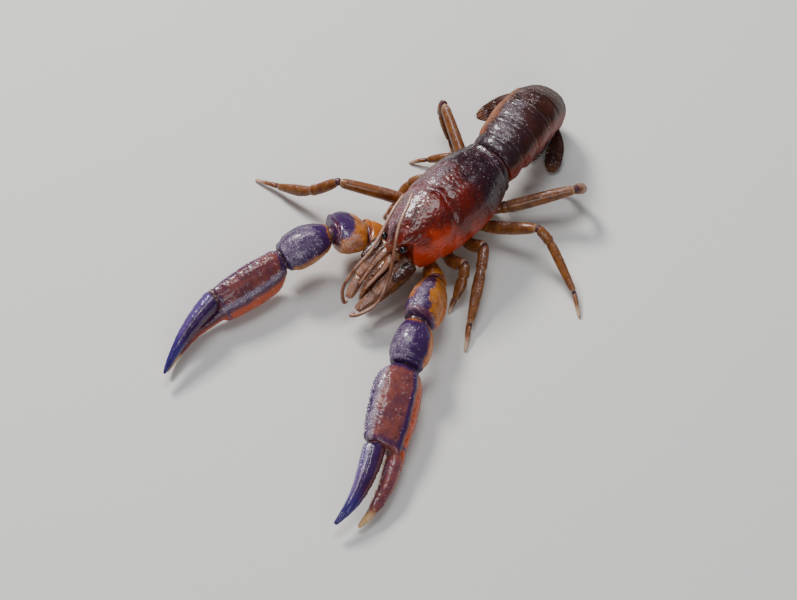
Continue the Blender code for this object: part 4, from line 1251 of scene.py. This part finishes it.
        # Painted highlight: pale sheen with glints, stronger towards the plate's tip
        skin.mask("film", 0.35 * ramp(0.2, 0.8, share))
        skin.settle(Finish.FAN, "fan_shell", node)
        grow_bristles(f"{node}_fringe", skin, share > 0.93, count=150, length=0.7,
                      lean=axis * 2.5, seed=31 + len(node), slot="fan_shell", radius=0.022)


# The great claws


class Side(Enum):
    """Which of the animal's sides a limb is on, with the sign of its x."""

    LEFT = 1.0
    RIGHT = -1.0

    @property
    def word(self) -> str:
        """The side as the node names give it."""
        return self.name.lower()


@dataclass(frozen=True)
class ClawMarks:
    """Where the bands of a claw lie, as shares from the palm's upper edge to its lower one.

    keel is the raised line, band and band_width the purple band, top_from and top_to
    the run over which the purple upper edge fades in and top its strength, gloss and
    gloss_width the painted highlight line, tint the purple of the fixed finger and
    tint_from and tint_to its run, rust the start of the orange edge. finger_gloss turns
    the painted highlight line of the moving finger, and seed starts the seeds of the
    studs and bristles.
    """

    keel: float
    band: float
    band_width: float
    top: float
    top_from: float
    top_to: float
    gloss: float
    gloss_width: float
    tint: float
    tint_from: float
    tint_to: float
    rust: float
    finger_gloss: float
    seed: int


@dataclass
class Claw:
    """One great claw, from its base to the tips of its two fingers."""

    side: Side
    joints: tuple[Point, ...]
    leans: tuple[float, ...]
    finger_root: float
    belly_way: Point
    marks: ClawMarks
    levels: int = 3

    def frame_of(self, index: int) -> tuple[np.ndarray, np.ndarray, np.ndarray, np.ndarray, float]:
        """Start, axis, back direction, outer direction and length of one part."""
        start, end = np.array(self.joints[index]), np.array(self.joints[index + 1])
        axis = unit(end - start)
        level = unit(np.cross(axis, UP)) * self.side.value
        upright = np.cross(level, axis) * self.side.value
        angle = math.radians(self.leans[index])
        back = upright * math.cos(angle) + level * math.sin(angle)
        outer = upright * math.sin(angle) - level * math.cos(angle)
        return start, axis, back, outer, float(np.linalg.norm(end - start))

    def build(self) -> None:
        """Build the arm, the palm and the moving finger."""
        for index, part in enumerate(("base", "merus", "carpus")):
            self.build_arm_part(index, part)
        self.build_palm()
        self.build_finger()
        self.build_joint_skins()

    def build_arm_part(self, index: int, part: str) -> None:
        """Base, merus or carpus: purple along its back, amber towards the body."""
        start, axis, back, outer, length = self.frame_of(index)
        node = f"claw_{self.side.word}_{part}"
        skin = Skin.from_node(node, f"{node}_shell", self.levels, 0.1)
        offset = skin.places - start
        share = offset @ axis / length
        wide = offset @ outer
        skin.sleeve(axis, share, 0.34)
        normal = skin.normals()
        up, out = normal @ back, normal @ outer
        drift = 0.22 * clouds(skin.places, 1.8, 6.0 + index, 3)
        push = 0.05 * clouds(skin.places, 1.4, 1.0, 3) - 0.05 * pits(skin.places, 0.62, 2.2)
        push += 0.1 * crease(share - 0.95, 0.04) - 0.08 * crease(share - 0.88, 0.03)
        waist = {"base": 0.0, "merus": 0.2, "carpus": 0.3}[part]
        push += waist * (crease(share - 0.58, 0.26) - ramp(0.24, 0.0, share)) * 0.8
        if part == "carpus":
            furrow = crease(out - 0.25, 0.3) * ramp(0.15, 0.45, share) * ramp(0.1, 0.6, up)
            push += 0.12 * crease(up - 0.9, 0.2) - 0.14 * furrow
        if part == "merus":
            push += 0.16 * crease(wide, 0.35) * ramp(0.3, 0.9, up)
        skin.push(push)
        skin.mask("ridge", self.purple(part, share, up, normal, drift))
        skin.mask("under", ramp(0.1, -0.7, up + drift))
        rim = crease(share - 0.93, 0.06) * ramp(-0.6, 0.2, up + drift)
        skin.mask("tip", 0.9 * rim * (part != "carpus"))
        # Painted highlight: pale sheen with glints along the part's back, strongest on the carpus
        shine = crease(up - 0.75, 0.5) * ramp(0.1, 0.35, share) * ramp(-0.9, 0.1, out)
        strength = {"base": 0.25, "merus": 0.62, "carpus": 0.78}[part]
        skin.mask("film", shine * strength + 0.8 * drift * shine)
        skin.settle(Finish.ARM, "claw_shell", node)

    def purple(self, part: str, share: np.ndarray, up: np.ndarray, normal: np.ndarray,
               drift: np.ndarray) -> np.ndarray:
        """Where an arm part is purple rather than amber.

        Args:
            part: base, merus or carpus.
            share: Share of the part's run at each vertex.
            up: How far each normal faces the back edge.
            normal: The normals.
            drift: Noise that roughens the border.

        Returns:
            The mask.
        """
        if part == "base":
            return 0.6 * ramp(1.0, 1.4, share + drift)
        if part == "carpus":
            seam = ramp(-0.9, -0.5, up + drift) * ramp(0.02, 0.14, share + 0.3 * drift)
            return seam * ramp(0.9, 0.6, normal @ self.belly_way + 0.5 * drift)
        if self.side is Side.LEFT:
            band = ramp(0.3, 0.6, up + drift + 0.3 * share)
            yellow = ramp(0.1, 0.6, normal @ YELLOW_WAY) * ramp(0.9, 0.45, share + drift)
            return np.maximum(band * (1 - yellow), ramp(0.8, 0.98, share + 0.4 * drift))
        return ramp(0.6, 0.74, 0.85 * share + 0.4 * (normal @ PURPLE_WAY) + 0.3 * drift)

    def build_palm(self) -> None:
        """Palm and fixed finger: mauve face, purple back margin, orange underside."""
        start, axis, back, outer, length = self.frame_of(3)
        marks = self.marks
        node = f"claw_{self.side.word}_palm"
        skin = Skin.from_node(node, f"{node}_shell", self.levels, 0.05)
        offset = skin.places - start
        share = offset @ axis / length
        wide = offset @ outer
        normal = skin.normals()
        up, out = normal @ back, normal @ outer
        drift = 0.2 * clouds(skin.places, 2.2, 12.0, 3)
        finger = ramp(0.98, 1.08, share)
        push = 0.09 * clouds(skin.places, 2.0, 4.0, 3) - 0.06 * pits(skin.places, 0.66, 8.0)
        push -= 0.24 * ramp(0.12, 0.0, share) * ramp(0.9, 0.4, normal @ axis * -1)
        push -= 0.08 * crease(up - 0.55, 0.12) * ramp(0.05, 0.2, share) * (1 - finger)
        low = across_share(share, offset @ (self.belly_way - axis * axis.dot(self.belly_way)))
        rise = low - marks.keel
        above = ramp(0.05, 0.2, share) * ramp(-0.2, 0.2, normal[:, 2])
        push += (0.12 * crease(rise, 0.06) - 0.08 * crease(rise - 0.1, 0.04)) * above
        push += 0.1 * finger * crease(wide, 0.25) - 0.08 * finger * crease(np.abs(wide) - 0.6, 0.2)
        skin.push(push)
        low = low + 0.1 * drift
        top = marks.top * ramp(marks.top_from, marks.top_to, low)
        margin = np.maximum(crease(low - marks.band, marks.band_width), top)
        # Painted highlight: a bright line of sheen and glints along the palm where its rounded edge
        # catches the light
        gloss = crease(low - marks.gloss, marks.gloss_width)
        tint = marks.tint * finger * ramp(marks.tint_from, marks.tint_to, low)
        beneath = ramp(0.2, 0.7, -normal[:, 2])
        rust = np.maximum(ramp(marks.rust, marks.rust + 0.07, low), beneath)
        skin.mask("under", rust * (1 - 0.35 * finger))
        margin = margin * (1 - beneath)
        cuff = np.maximum(ramp(0.15, 0.02, share + 0.3 * drift), 0.7 * crease(share - 0.97, 0.05))
        skin.mask("ridge", np.maximum(margin, cuff) * (1 - finger) + tint)
        skin.mask("tip", ramp(1.66, 1.86, share))
        # The painted highlight line fades over the fixed finger, and a faint painted sheen lies
        # over the whole palm
        gloss = gloss * ramp(0.02, 0.12, share) * (1 - 0.6 * finger)
        skin.mask("film", gloss * (0.95 + 1.6 * drift) + 0.14 + 0.5 * drift)
        skin.settle(Finish.CLAW, "claw_shell", node)
        spacing = 0.52
        rows = [0.9 + spacing * step for step in range(int((length - 1.4) / spacing))]
        for count, turn in enumerate((0.28, -0.28)):
            studs = skin.crest(start, axis, unit(back + outer * turn), rows)
            plant_studs(f"{node}_studs_{count + 1}", studs, 0.15, axis, Finish.KNOB,
                        "claw_shell", marks.seed + count)
        teeth = skin.crest(start, axis, back, [length * (1.1 + 0.045 * k) for k in range(13)])
        plant_studs(f"{node}_teeth", teeth, 0.15, axis, Finish.TOOTH, "claw_shell",
                    marks.seed + 2)
        grow_bristles(f"{node}_bristles", skin, (share > 0.9) & (out < 0.4), count=160,
                      length=0.45, lean=axis * 1.2, seed=marks.seed + 3, slot="claw_shell",
                      radius=0.018)

    def build_finger(self) -> None:
        """Moving finger: violet-blue, keeled along its back, bluest at the tip."""
        start, axis, back, outer, length = self.frame_of(3)
        node = f"claw_{self.side.word}_finger"
        skin = Skin.from_node(node, f"{node}_shell", self.levels, 0.05)
        share = (skin.places - start) @ axis / length - 1.0
        normal = skin.normals()
        up = normal @ back
        drift = 0.2 * clouds(skin.places, 1.8, 15.0, 3)
        push = 0.05 * clouds(skin.places, 1.5, 4.0, 3) - 0.05 * pits(skin.places, 0.6, 8.0)
        push += 0.12 * crease(up - 0.92, 0.12)
        push -= 0.12 * crease(up - 0.5, 0.12) * ramp(0.05, 0.2, share)
        skin.push(push)
        skin.mask("under", ramp(0.1, -0.6, up + drift))
        skin.mask("ridge", ramp(0.5, 0.95, up + drift) * 0.8)
        skin.mask("tip", ramp(0.45, 0.85, share))
        # Painted highlight: a bright line of sheen and glints along the finger, fading towards its
        # tip
        facing = normal @ self.belly_way + self.marks.finger_gloss
        gloss = crease(facing, 0.17) * ramp(-0.02, 0.08, share)
        skin.mask("film", gloss * ramp(1.1, 0.6, share) * (1.0 + 1.5 * drift))
        skin.settle(Finish.FINGER, "finger_shell", node)
        seed = self.marks.seed + 20
        teeth = skin.crest(start, axis, -back, [length * (1.1 + 0.05 * k) for k in range(12)])
        plant_studs(f"{node}_teeth", teeth, 0.14, axis, Finish.TOOTH, "finger_shell", seed)
        studs = skin.crest(start, axis, unit(back + outer * 0.3),
                           [length * (1.04 + 0.045 * k) for k in range(7)])
        plant_studs(f"{node}_studs", studs, 0.14, axis, Finish.KNOB, "finger_shell", seed + 1)
        grow_bristles(f"{node}_bristles", skin, up < 0.0, count=110, length=0.4,
                      lean=axis * 1.2, seed=seed + 2, slot="finger_shell", radius=0.018)

    def build_joint_skins(self) -> None:
        """Folded pale skin that shows in the gaps between the parts."""
        matrices = []
        for index, radius in ((1, 1.45), (2, 1.75), (3, 1.7)):
            before, joint, after = (np.array(p) for p in self.joints[index - 1:index + 2])
            along = unit(unit(joint - before) + unit(after - joint))
            _, _, back, _, _ = self.frame_of(index)
            matrices.append(axes_to_matrix(joint, along, back, (radius * 0.82, radius * 1.1, 0.75)))
        _, axis, back, _, length = self.frame_of(3)
        root = np.array(self.joints[4]) + back * self.finger_root
        matrices.append(axes_to_matrix(root, axis, back, (1.3, 1.45, 0.6)))
        skin = CUFF.stamp(f"claw_{self.side.word}_joint_skin", matrices)
        skin.mask("tip", clouds(skin.places, 0.8, 3.0, 2) * 0.9)
        skin.settle(Finish.SKIN, "claw_shell")


# The walking legs


@dataclass
class Leg:
    """One walking leg: thigh, shank and tip."""

    side: Side
    number: int
    points: tuple[Point, ...]
    levels: int = 3

    @property
    def name(self) -> str:
        """The leg as the node names give it."""
        return f"leg_{self.side.word}_{self.number}"

    def build(self) -> None:
        """Build its three shells and the skin at its joints."""
        for part, swell in (("thigh", 0.1), ("shank", 0.09), ("tip", 0.06)):
            self.build_part(part, swell)
        self.build_joint_skins()
        if self.number < 3:
            self.build_pincer()

    def track(self, part: str) -> np.ndarray:
        """Centre line of one part."""
        root, bend, knee, wrist, ankle, tip = self.points
        chosen = {"thigh": (root, bend, knee), "shank": (knee, wrist, ankle),
                  "tip": (ankle, tip)}[part]
        return curve_points(chosen, 60)

    def build_part(self, part: str, swell: float) -> None:
        """One shell, ringed at its joints, with a painted highlight of sheen and glints along its
        upper edge.
        """
        node = f"{self.name}_{part}"
        skin = Skin.from_node(node, f"{node}_shell", self.levels, swell)
        line = self.track(part)
        share = nearest_share(skin.places, line)
        normal = skin.normals()
        drift = 0.22 * clouds(skin.places, 1.3, 3.0 * self.number, 3)
        push = 0.03 * clouds(skin.places, 0.9, 2.0, 2) - 0.03 * pits(skin.places, 0.5, 6.0)
        if part == "thigh":
            push -= 0.12 * crease(share - 0.3, 0.02) + 0.1 * crease(share - 0.42, 0.02)
            push += 0.08 * crease(share - 0.96, 0.03)
        elif part == "shank":
            push -= 0.14 * crease(share - 0.48, 0.03)
            push += 0.06 * crease(share - 0.42, 0.03) + 0.06 * crease(share - 0.96, 0.03)
        skin.push(push)
        up = normal[:, 2]
        skin.mask("ridge", ramp(0.45, 0.95, up + drift) * 0.7)
        skin.mask("under", ramp(0.0, -0.6, up + drift))
        pale = ramp(0.15, 1.0, share) if part == "tip" else crease(share - 1.0, 0.05) * 0.55
        skin.mask("tip", pale)
        # Painted highlight: pale sheen with glints on the upward faces
        skin.mask("film", ramp(0.6, 1.0, up) * (0.35 + 1.2 * drift))
        skin.settle(Finish.LIMB, "limb_shell", node)
        hairy = {"thigh": 40, "shank": 90, "tip": 60}[part]
        heading = unit(line[-1] - line[0])
        grow_bristles(f"{node}_bristles", skin, share > (0.3 if part != "tip" else 0.1),
                      count=hairy, length=0.5, lean=heading * 1.6, seed=80 + self.number,
                      slot="limb_shell", radius=0.018)

    def build_pincer(self) -> None:
        """Fixed finger beside the tip, which makes a small pincer of it."""
        wrist, ankle, tip = (np.array(p) for p in self.points[-3:])
        heading = unit(tip - ankle)
        aside = unit(np.cross(heading, UP)) * 0.34
        root = ankle - unit(ankle - wrist) * 0.7 + aside * 0.6
        middle = ankle + heading * 0.5 + aside * 1.3
        point = ankle + (tip - ankle) * 0.86 + aside * 0.6
        point[2] = max(point[2], 0.12)
        line = (root, middle, point)
        finger = ROD.along(f"{self.name}_fixed_finger", line, (0.28, 0.24, 0.16, 0.05))
        finger.mask("tip", ramp(0.3, 1.0, nearest_share(finger.places, np.array(line))))
        finger.settle(Finish.LIMB, "limb_shell")

    def build_joint_skins(self) -> None:
        """Skin at the knee, the wrist and the ankle."""
        matrices = []
        for index, radius in ((2, 0.68), (4, 0.36)):
            before, joint, after = (np.array(p) for p in self.points[index - 1:index + 2])
            along = unit(unit(joint - before) + unit(after - joint))
            matrices.append(axes_to_matrix(joint, along, UP, (radius, radius, 0.42)))
        skin = CUFF.stamp(f"{self.name}_joint_skin", matrices)
        skin.settle(Finish.SKIN, "limb_shell")


# The head


@dataclass
class Head:
    """Eyes, feelers, scales and mouth limbs."""

    eye_root: Point = (1.75, -11.45, 11.7)
    eye_globe: Point = (2.1, -12.25, 12.35)
    tracks: dict[str, dict[str, tuple[Point, ...]]] = field(default_factory=lambda: {
        "antenna_base": {
            "left": ((2.35, -11.2, 8.6), (2.25, -14.4, 7.7), (1.8, -18.4, 6.0),
                     (0.95, -22.4, 4.2)),
            "right": ((-2.35, -11.3, 8.6), (-2.35, -14.3, 8.1), (-2.15, -18.0, 6.7),
                      (-1.45, -21.9, 4.8))},
        "antenna": {
            "left": ((0.88, -22.75, 4.0), (1.0, -23.5, 3.95), (2.1, -22.6, 4.6),
                     (3.25, -19.4, 5.9), (2.45, -16.0, 9.7), (1.9, -14.5, 12.2),
                     (0.8, -12.7, 14.9), (-0.3, -10.5, 16.2), (-1.4, -7.6, 16.7),
                     (-2.6, -5.2, 16.7)),
            "right": ((-1.38, -22.25, 4.65), (-1.5, -22.9, 4.9), (-2.4, -22.0, 7.3),
                      (-2.1, -19.3, 10.2), (-1.5, -16.4, 12.6), (-1.9, -13.2, 14.6),
                      (-2.9, -9.6, 15.9), (-3.7, -6.2, 16.1))},
        "maxilliped": {
            "left": ((1.5, -9.3, 4.2), (1.75, -12.6, 4.0), (1.45, -16.6, 3.3),
                     (0.9, -19.9, 2.3)),
            "right": ((-1.5, -9.3, 4.2), (-1.75, -12.6, 4.0), (-1.5, -16.4, 3.3),
                      (-1.1, -19.4, 2.3))},
    })
    seams: dict[str, tuple[float, ...]] = field(default_factory=lambda: {
        "antenna_base": (0.34, 0.7), "maxilliped": (0.3, 0.6, 0.8)})
    levels: int = 3

    def build(self) -> None:
        """Build both sides of the head."""
        for side in Side:
            self.build_eye(side)
            for node, finish, slot, swell in (
                ("antenna_base", Finish.FEELER, "feeler_shell", 0.14),
                ("antenna", Finish.FEELER, "feeler_shell", 0.04),
                ("antennule", Finish.FEELER, "feeler_shell", 0.1),
                ("antenna_scale", Finish.FAN, "fan_shell", 0.03),
                ("maxilliped", Finish.LIMB, "limb_shell", 0.06),
            ):
                self.build_limb(side, node, finish, slot, swell)
        self.build_second_feelers()
        self.build_mouth()

    def build_eye(self, side: Side) -> None:
        """Round black cornea on a short stalk."""
        root = np.array(self.eye_root) * (side.value, 1, 1)
        globe = np.array(self.eye_globe) * (side.value, 1, 1)
        along = unit(globe - root)
        turn = np.array(axes_to_matrix((0, 0, 0), along, UP, (1, 1, 1)))[:3, :3].T
        deselect()
        bpy.ops.mesh.primitive_uv_sphere_add(segments=48, ring_count=32, radius=0.66)
        item = bpy.context.object
        item.name = f"eye_{side.word}_cornea"
        pick(item, "VERT", lambda v: v.co.z < 0.05)
        bpy.ops.transform.resize(value=(0.86, 0.86, 0.7))
        leave_edit()
        skin = Skin(item, read_places(item) @ turn + globe + along * 0.12)
        skin.settle(Finish.EYE, "eye_cornea", f"eye_{side.word}")
        deselect()
        bpy.ops.mesh.primitive_cylinder_add(vertices=24, radius=0.46, depth=1.0)
        item = bpy.context.object
        item.name = f"eye_{side.word}_stalk"
        pick(item, "EDGE", rising(0.5))
        bpy.ops.mesh.subdivide(number_cuts=3)
        pick(item, "VERT", lambda v: v.co.z > 0.2)
        bpy.ops.transform.resize(value=(1.28, 1.28, 1.0))
        pick(item, "VERT", lambda v: abs(v.co.z) < 0.1)
        bpy.ops.transform.resize(value=(0.86, 0.86, 1.0))
        leave_edit()
        smooth_surface(item, 2)
        skin = Skin(item, read_places(item) @ turn + root + along * 0.45)
        # Painted highlight: an even light sheen with glints over the stalk
        skin.mask("film", np.full(len(skin.places), 0.3))
        skin.settle(Finish.CARAPACE, "carapace_shell")

    def build_limb(self, side: Side, node: str, finish: Finish, slot: str,
                   swell: float) -> None:
        """One of the head's limbs, ringed at its joints.

        Args:
            side: Side of the head.
            node: The limb's node name, without its side.
            finish: What it wears.
            slot: The record's material slot.
            swell: Millimetres to push it out.
        """
        name = f"{node}_{side.word}"
        skin = Skin.from_node(name, f"{name}_shell", self.levels, swell)
        normal = skin.normals()
        drift = 0.2 * clouds(skin.places, 1.2, 2.0, 3)
        push = 0.04 * clouds(skin.places, 0.7, 3.0, 3) - 0.03 * pits(skin.places, 0.5, 5.0)
        if node in self.tracks:
            line = curve_points(self.tracks[node][side.word], 120)
            share = nearest_share(skin.places, line)
            if node == "antenna":
                ring = np.linalg.norm(np.diff(line, axis=0), axis=1).sum() / 0.42
                push = 0.02 * np.cos(share * ring * 2 * math.pi)
            else:
                for joint in self.seams[node]:
                    push += 0.05 * crease(share - joint + 0.03, 0.02)
                    push -= 0.12 * crease(share - joint, 0.016)
            skin.mask("tip", ramp(0.75, 1.0, share) * (0.4 if node != "antenna" else 0.8))
        skin.push(push)
        # Upward faces take the ridge tint, which on the feelers is pale and so a painted highlight,
        # and the sheen mask lays a painted sheen with glints on them too
        pale = 0.9 if node == "antenna" else 0.5
        skin.mask("ridge", ramp(0.4, 0.95, normal[:, 2] + drift) * pale)
        skin.mask("under", ramp(0.0, -0.6, normal[:, 2]))
        skin.mask("film", ramp(0.5, 1.0, normal[:, 2]) * (0.45 + 1.4 * drift))
        skin.settle(finish, slot, name)
        if node == "maxilliped":
            inner = (normal[:, 0] * side.value < -0.1) | (normal[:, 2] < -0.4)
            grow_bristles(f"{name}_fringe", skin, inner, count=420, length=1.0,
                          lean=(-0.5 * side.value, -0.9, -0.1), seed=90, slot=slot,
                          radius=0.022)
        elif node == "antenna_scale":
            inner = (normal[:, 0] * side.value < -0.5) & (skin.places[:, 1] < -12.6)
            grow_bristles(f"{name}_fringe", skin, inner, count=110, length=0.6,
                          lean=(-0.4 * side.value, -0.8, -0.2), seed=95, slot=slot,
                          radius=0.018)
        elif node == "antenna_base":
            grow_bristles(f"{name}_bristles", skin, normal[:, 2] < 0.6, count=110,
                          length=0.4, lean=(0, -1.2, 0), seed=97, slot=slot, radius=0.016)

    def build_second_feelers(self) -> None:
        """Inner branch of each antennule, beside the outer one."""
        for side, points in (
            ("left", ((0.55, -16.9, 8.45), (0.2, -18.6, 7.2), (0.3, -20.6, 5.7))),
            ("right", ((-0.8, -16.9, 8.6), (-0.45, -18.6, 7.5), (-0.5, -20.4, 6.0))),
        ):
            branch = ROD.along(f"antennule_{side}_inner_branch", points,
                               (0.26, 0.2, 0.15, 0.1, 0.05))
            run = branch.places[:, 1]
            branch.push(0.015 * np.cos(run * 2 * math.pi / 0.3))
            branch.settle(Finish.FEELER, "feeler_shell")

    def build_mouth(self) -> None:
        """Epistome, lip, jaws and inner mouth limbs, under the head."""
        plates = (
            ("epistome", (0.0, -11.3, 7.2), (0, -0.4, -1), (1.7, 1.2, 0.5)),
            ("upper_lip", (0.0, -10.4, 6.4), (0, -0.3, -1), (0.85, 0.6, 0.7)),
        )
        for name, place, along, size in plates:
            plate = KNOB.stamp(name, [axes_to_matrix(place, along, (0, -1, 0), size)])
            plate.mask("ridge", clouds(plate.places, 0.7, 2.0, 2))
            plate.settle(Finish.BELLY, "belly_shell")
        jaws = [axes_to_matrix((sign * 0.85, -10.0, 5.9), (-sign * 0.9, -0.3, -0.5),
                               (0, -1, 0), (0.6, 0.75, 0.8)) for sign in (1, -1)]
        KNOB.stamp("mandibles", jaws).settle(Finish.TOOTH, "belly_shell")
        for side in Side:
            sign = side.value
            limb = ROD.along(f"second_maxilliped_{side.word}",
                             ((sign * 0.95, -9.0, 5.3), (sign * 1.0, -11.4, 5.7),
                              (sign * 0.85, -13.8, 5.4), (sign * 0.4, -15.4, 4.7)),
                             (0.5, 0.52, 0.42, 0.4, 0.28, 0.12), 1.3)
            limb.push(0.05 * clouds(limb.places, 0.6, 8.0, 2))
            limb.settle(Finish.LIMB, "limb_shell")
            grow_bristles(f"second_maxilliped_{side.word}_fringe", limb,
                          limb.places[:, 1] < -11.0, count=160, length=0.6,
                          lean=(0, -0.8, -0.6), seed=99, slot="limb_shell", radius=0.018)


# The studio


@dataclass(frozen=True)
class Lamp:
    """One soft square lamp that faces the middle of the floor."""

    name: str
    place: Point
    width: float
    power: float
    tint: Colour

    def build(self) -> None:
        """Hang the lamp."""
        data = bpy.data.lights.new(self.name, "AREA")
        data.size = self.width
        data.energy = self.power
        data.color = self.tint
        lamp = bpy.data.objects.new(self.name, data)
        bpy.context.scene.collection.objects.link(lamp)
        lamp.location = self.place
        lamp.rotation_euler = (-Vector(self.place)).to_track_quat("-Z", "Y").to_euler()


@dataclass(frozen=True)
class Studio:
    """Pale floor, soft lights and the camera at the photograph's angle."""

    azimuth: float = 43.5
    elevation: float = 57.0
    camera_place: Point = (190.68, -212.20, 420.48)
    lens: float = 135.5
    sensor: float = 36.0
    near: float = 0.01
    far: float = 20.0
    world_strength: float = 0.17
    world_tint: tuple[float, ...] = (0.86, 0.9, 0.95, 1.0)
    floor_radius: float = 2.5
    floor_tint: tuple[float, ...] = (0.62, 0.61, 0.59, 1.0)
    floor_roughness: float = 0.7
    lamps: tuple[Lamp, ...] = (
        Lamp("key", (-0.4, 0.1, 0.42), 0.14, 4.2, (1.0, 0.98, 0.96)),
        Lamp("fill", (0.42, -0.34, 0.34), 0.36, 1.5, (0.96, 0.98, 1.0)),
        Lamp("sky", (-0.1, 0.1, 0.62), 0.24, 1.9, (0.94, 0.97, 1.0)),
    )

    def build(self) -> None:
        """Set out the floor, the lights, the world and the camera."""
        self.build_floor()
        self.build_world()
        for lamp in self.lamps:
            lamp.build()
        self.build_camera()

    def build_floor(self) -> None:
        """A wide pale floor that is not part of the object."""
        deselect()
        bpy.ops.mesh.primitive_circle_add(vertices=96, radius=self.floor_radius, fill_type="NGON")
        floor = bpy.context.object
        floor.name = "studio_floor"
        made = bpy.data.materials.new("studio_floor")
        made.use_nodes = True
        shader = made.node_tree.nodes["Principled BSDF"]
        shader.inputs["Base Color"].default_value = self.floor_tint
        shader.inputs["Roughness"].default_value = self.floor_roughness
        floor.data.materials.append(made)

    def build_world(self) -> None:
        """Even pale light from all round."""
        world = bpy.data.worlds.new("studio_world")
        world.use_nodes = True
        background = world.node_tree.nodes["Background"]
        background.inputs[0].default_value = self.world_tint
        background.inputs[1].default_value = self.world_strength
        bpy.context.scene.world = world

    def build_camera(self) -> None:
        """The camera, from the front left and above."""
        turn, rise = math.radians(self.azimuth), math.radians(self.elevation)
        back = np.array((math.sin(turn) * math.cos(rise), -math.cos(turn) * math.cos(rise),
                         math.sin(rise)))
        data = bpy.data.cameras.new("camera")
        data.lens = self.lens
        data.sensor_width = self.sensor
        data.clip_start = self.near
        data.clip_end = self.far
        camera = bpy.data.objects.new("camera", data)
        bpy.context.scene.collection.objects.link(camera)
        place = SPACE.to_row(np.array(self.camera_place))
        camera.location = Vector(place)
        camera.rotation_euler = Vector(-back).to_track_quat("-Z", "Y").to_euler()
        bpy.context.scene.camera = camera


CLAWS = (
    Claw(Side.LEFT, ((3.3, -7.3, 3.7), (7.2, -9.8, 5.0), (11.4, -18.6, 7.4),
                     (15.3, -25.7, 6.3), (22.7, -38.1, 4.4)),
         leans=(30.0, 42.0, 55.0, 62.0), finger_root=1.75, belly_way=(0.84, 0.52, -0.13),
         marks=ClawMarks(keel=0.8, band=0.8, band_width=0.055, top=1.0, top_from=0.2,
                         top_to=0.08, gloss=0.14, gloss_width=0.08, tint=0.3, tint_from=0.8,
                         tint_to=0.4, rust=0.85, finger_gloss=0.45, seed=40)),
    Claw(Side.RIGHT, ((-3.3, -7.3, 3.7), (-7.9, -11.1, 5.5), (-11.2, -15.9, 7.4),
                      (-14.0, -24.5, 6.2), (-16.4, -37.3, 4.5)),
         leans=(78.0, 70.0, 40.0, -25.0), finger_root=1.6, belly_way=(0.88, -0.11, -0.45),
         marks=ClawMarks(keel=0.66, band=0.7, band_width=0.1, top=0.8, top_from=0.1,
                         top_to=0.02, gloss=0.66, gloss_width=0.07, tint=0.75, tint_from=0.95,
                         tint_to=0.5, rust=0.8, finger_gloss=0.1, seed=50)),
)

LEGS = (
    Leg(Side.LEFT, 1, ((3.2, -3.3, 3.7), (5.6, -4.3, 4.0), (8.2, -3.9, 5.2),
                       (9.4, -5.6, 4.2), (10.3, -8.4, 1.7), (10.6, -10.3, 0.25))),
    Leg(Side.LEFT, 2, ((3.2, 0.6, 3.7), (5.8, 0.4, 4.0), (8.5, 0.6, 6.0),
                       (10.9, -2.9, 4.7), (15.4, -10.3, 1.6), (17.7, -13.9, 0.25))),
    Leg(Side.LEFT, 3, ((3.2, 4.3, 3.7), (6.2, 5.6, 4.1), (13.0, 8.9, 7.0),
                       (15.9, 9.0, 5.2), (23.7, 6.3, 1.6), (27.0, 4.0, 0.25))),
    Leg(Side.LEFT, 4, ((3.0, 8.0, 3.9), (5.6, 10.9, 4.4), (12.2, 19.3, 7.0),
                       (12.0, 21.2, 5.0), (9.6, 21.3, 1.8), (8.3, 20.4, 0.25))),
    Leg(Side.RIGHT, 1, ((-3.2, -2.6, 3.7), (-7.4, -0.9, 4.8), (-17.4, -7.7, 8.0),
                        (-21.5, -10.7, 4.4), (-27.4, -12.3, 1.6), (-31.8, -13.3, 0.25))),
    Leg(Side.RIGHT, 2, ((-3.2, 0.6, 3.7), (-5.6, 1.6, 4.1), (-8.4, 3.7, 6.0),
                        (-9.9, 1.9, 4.6), (-10.2, -1.4, 1.6), (-10.6, -3.8, 0.25))),
    Leg(Side.RIGHT, 3, ((-3.2, 4.6, 3.7), (-5.6, 6.6, 3.4), (-8.4, 11.4, 3.6),
                        (-9.9, 11.3, 3.0), (-12.8, 9.4, 1.5), (-15.2, 7.5, 0.25))),
    Leg(Side.RIGHT, 4, ((-3.0, 8.0, 3.9), (-5.4, 10.9, 5.0), (-15.6, 16.4, 8.0),
                        (-15.5, 16.1, 5.2), (-12.6, 14.9, 1.8), (-11.2, 14.1, 0.25))),
)


def main() -> None:
    """Build every sub-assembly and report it."""
    logging.basicConfig(level=logging.INFO, format="%(name)s: %(message)s")
    Studio().build()
    LOG.info("studio set out")
    for part in (Shield(), Tail(), Head(), *CLAWS, *LEGS):
        part.build()
        LOG.info("%s built", type(part).__name__)
    deselect()


if __name__ == "__main__":
    main()
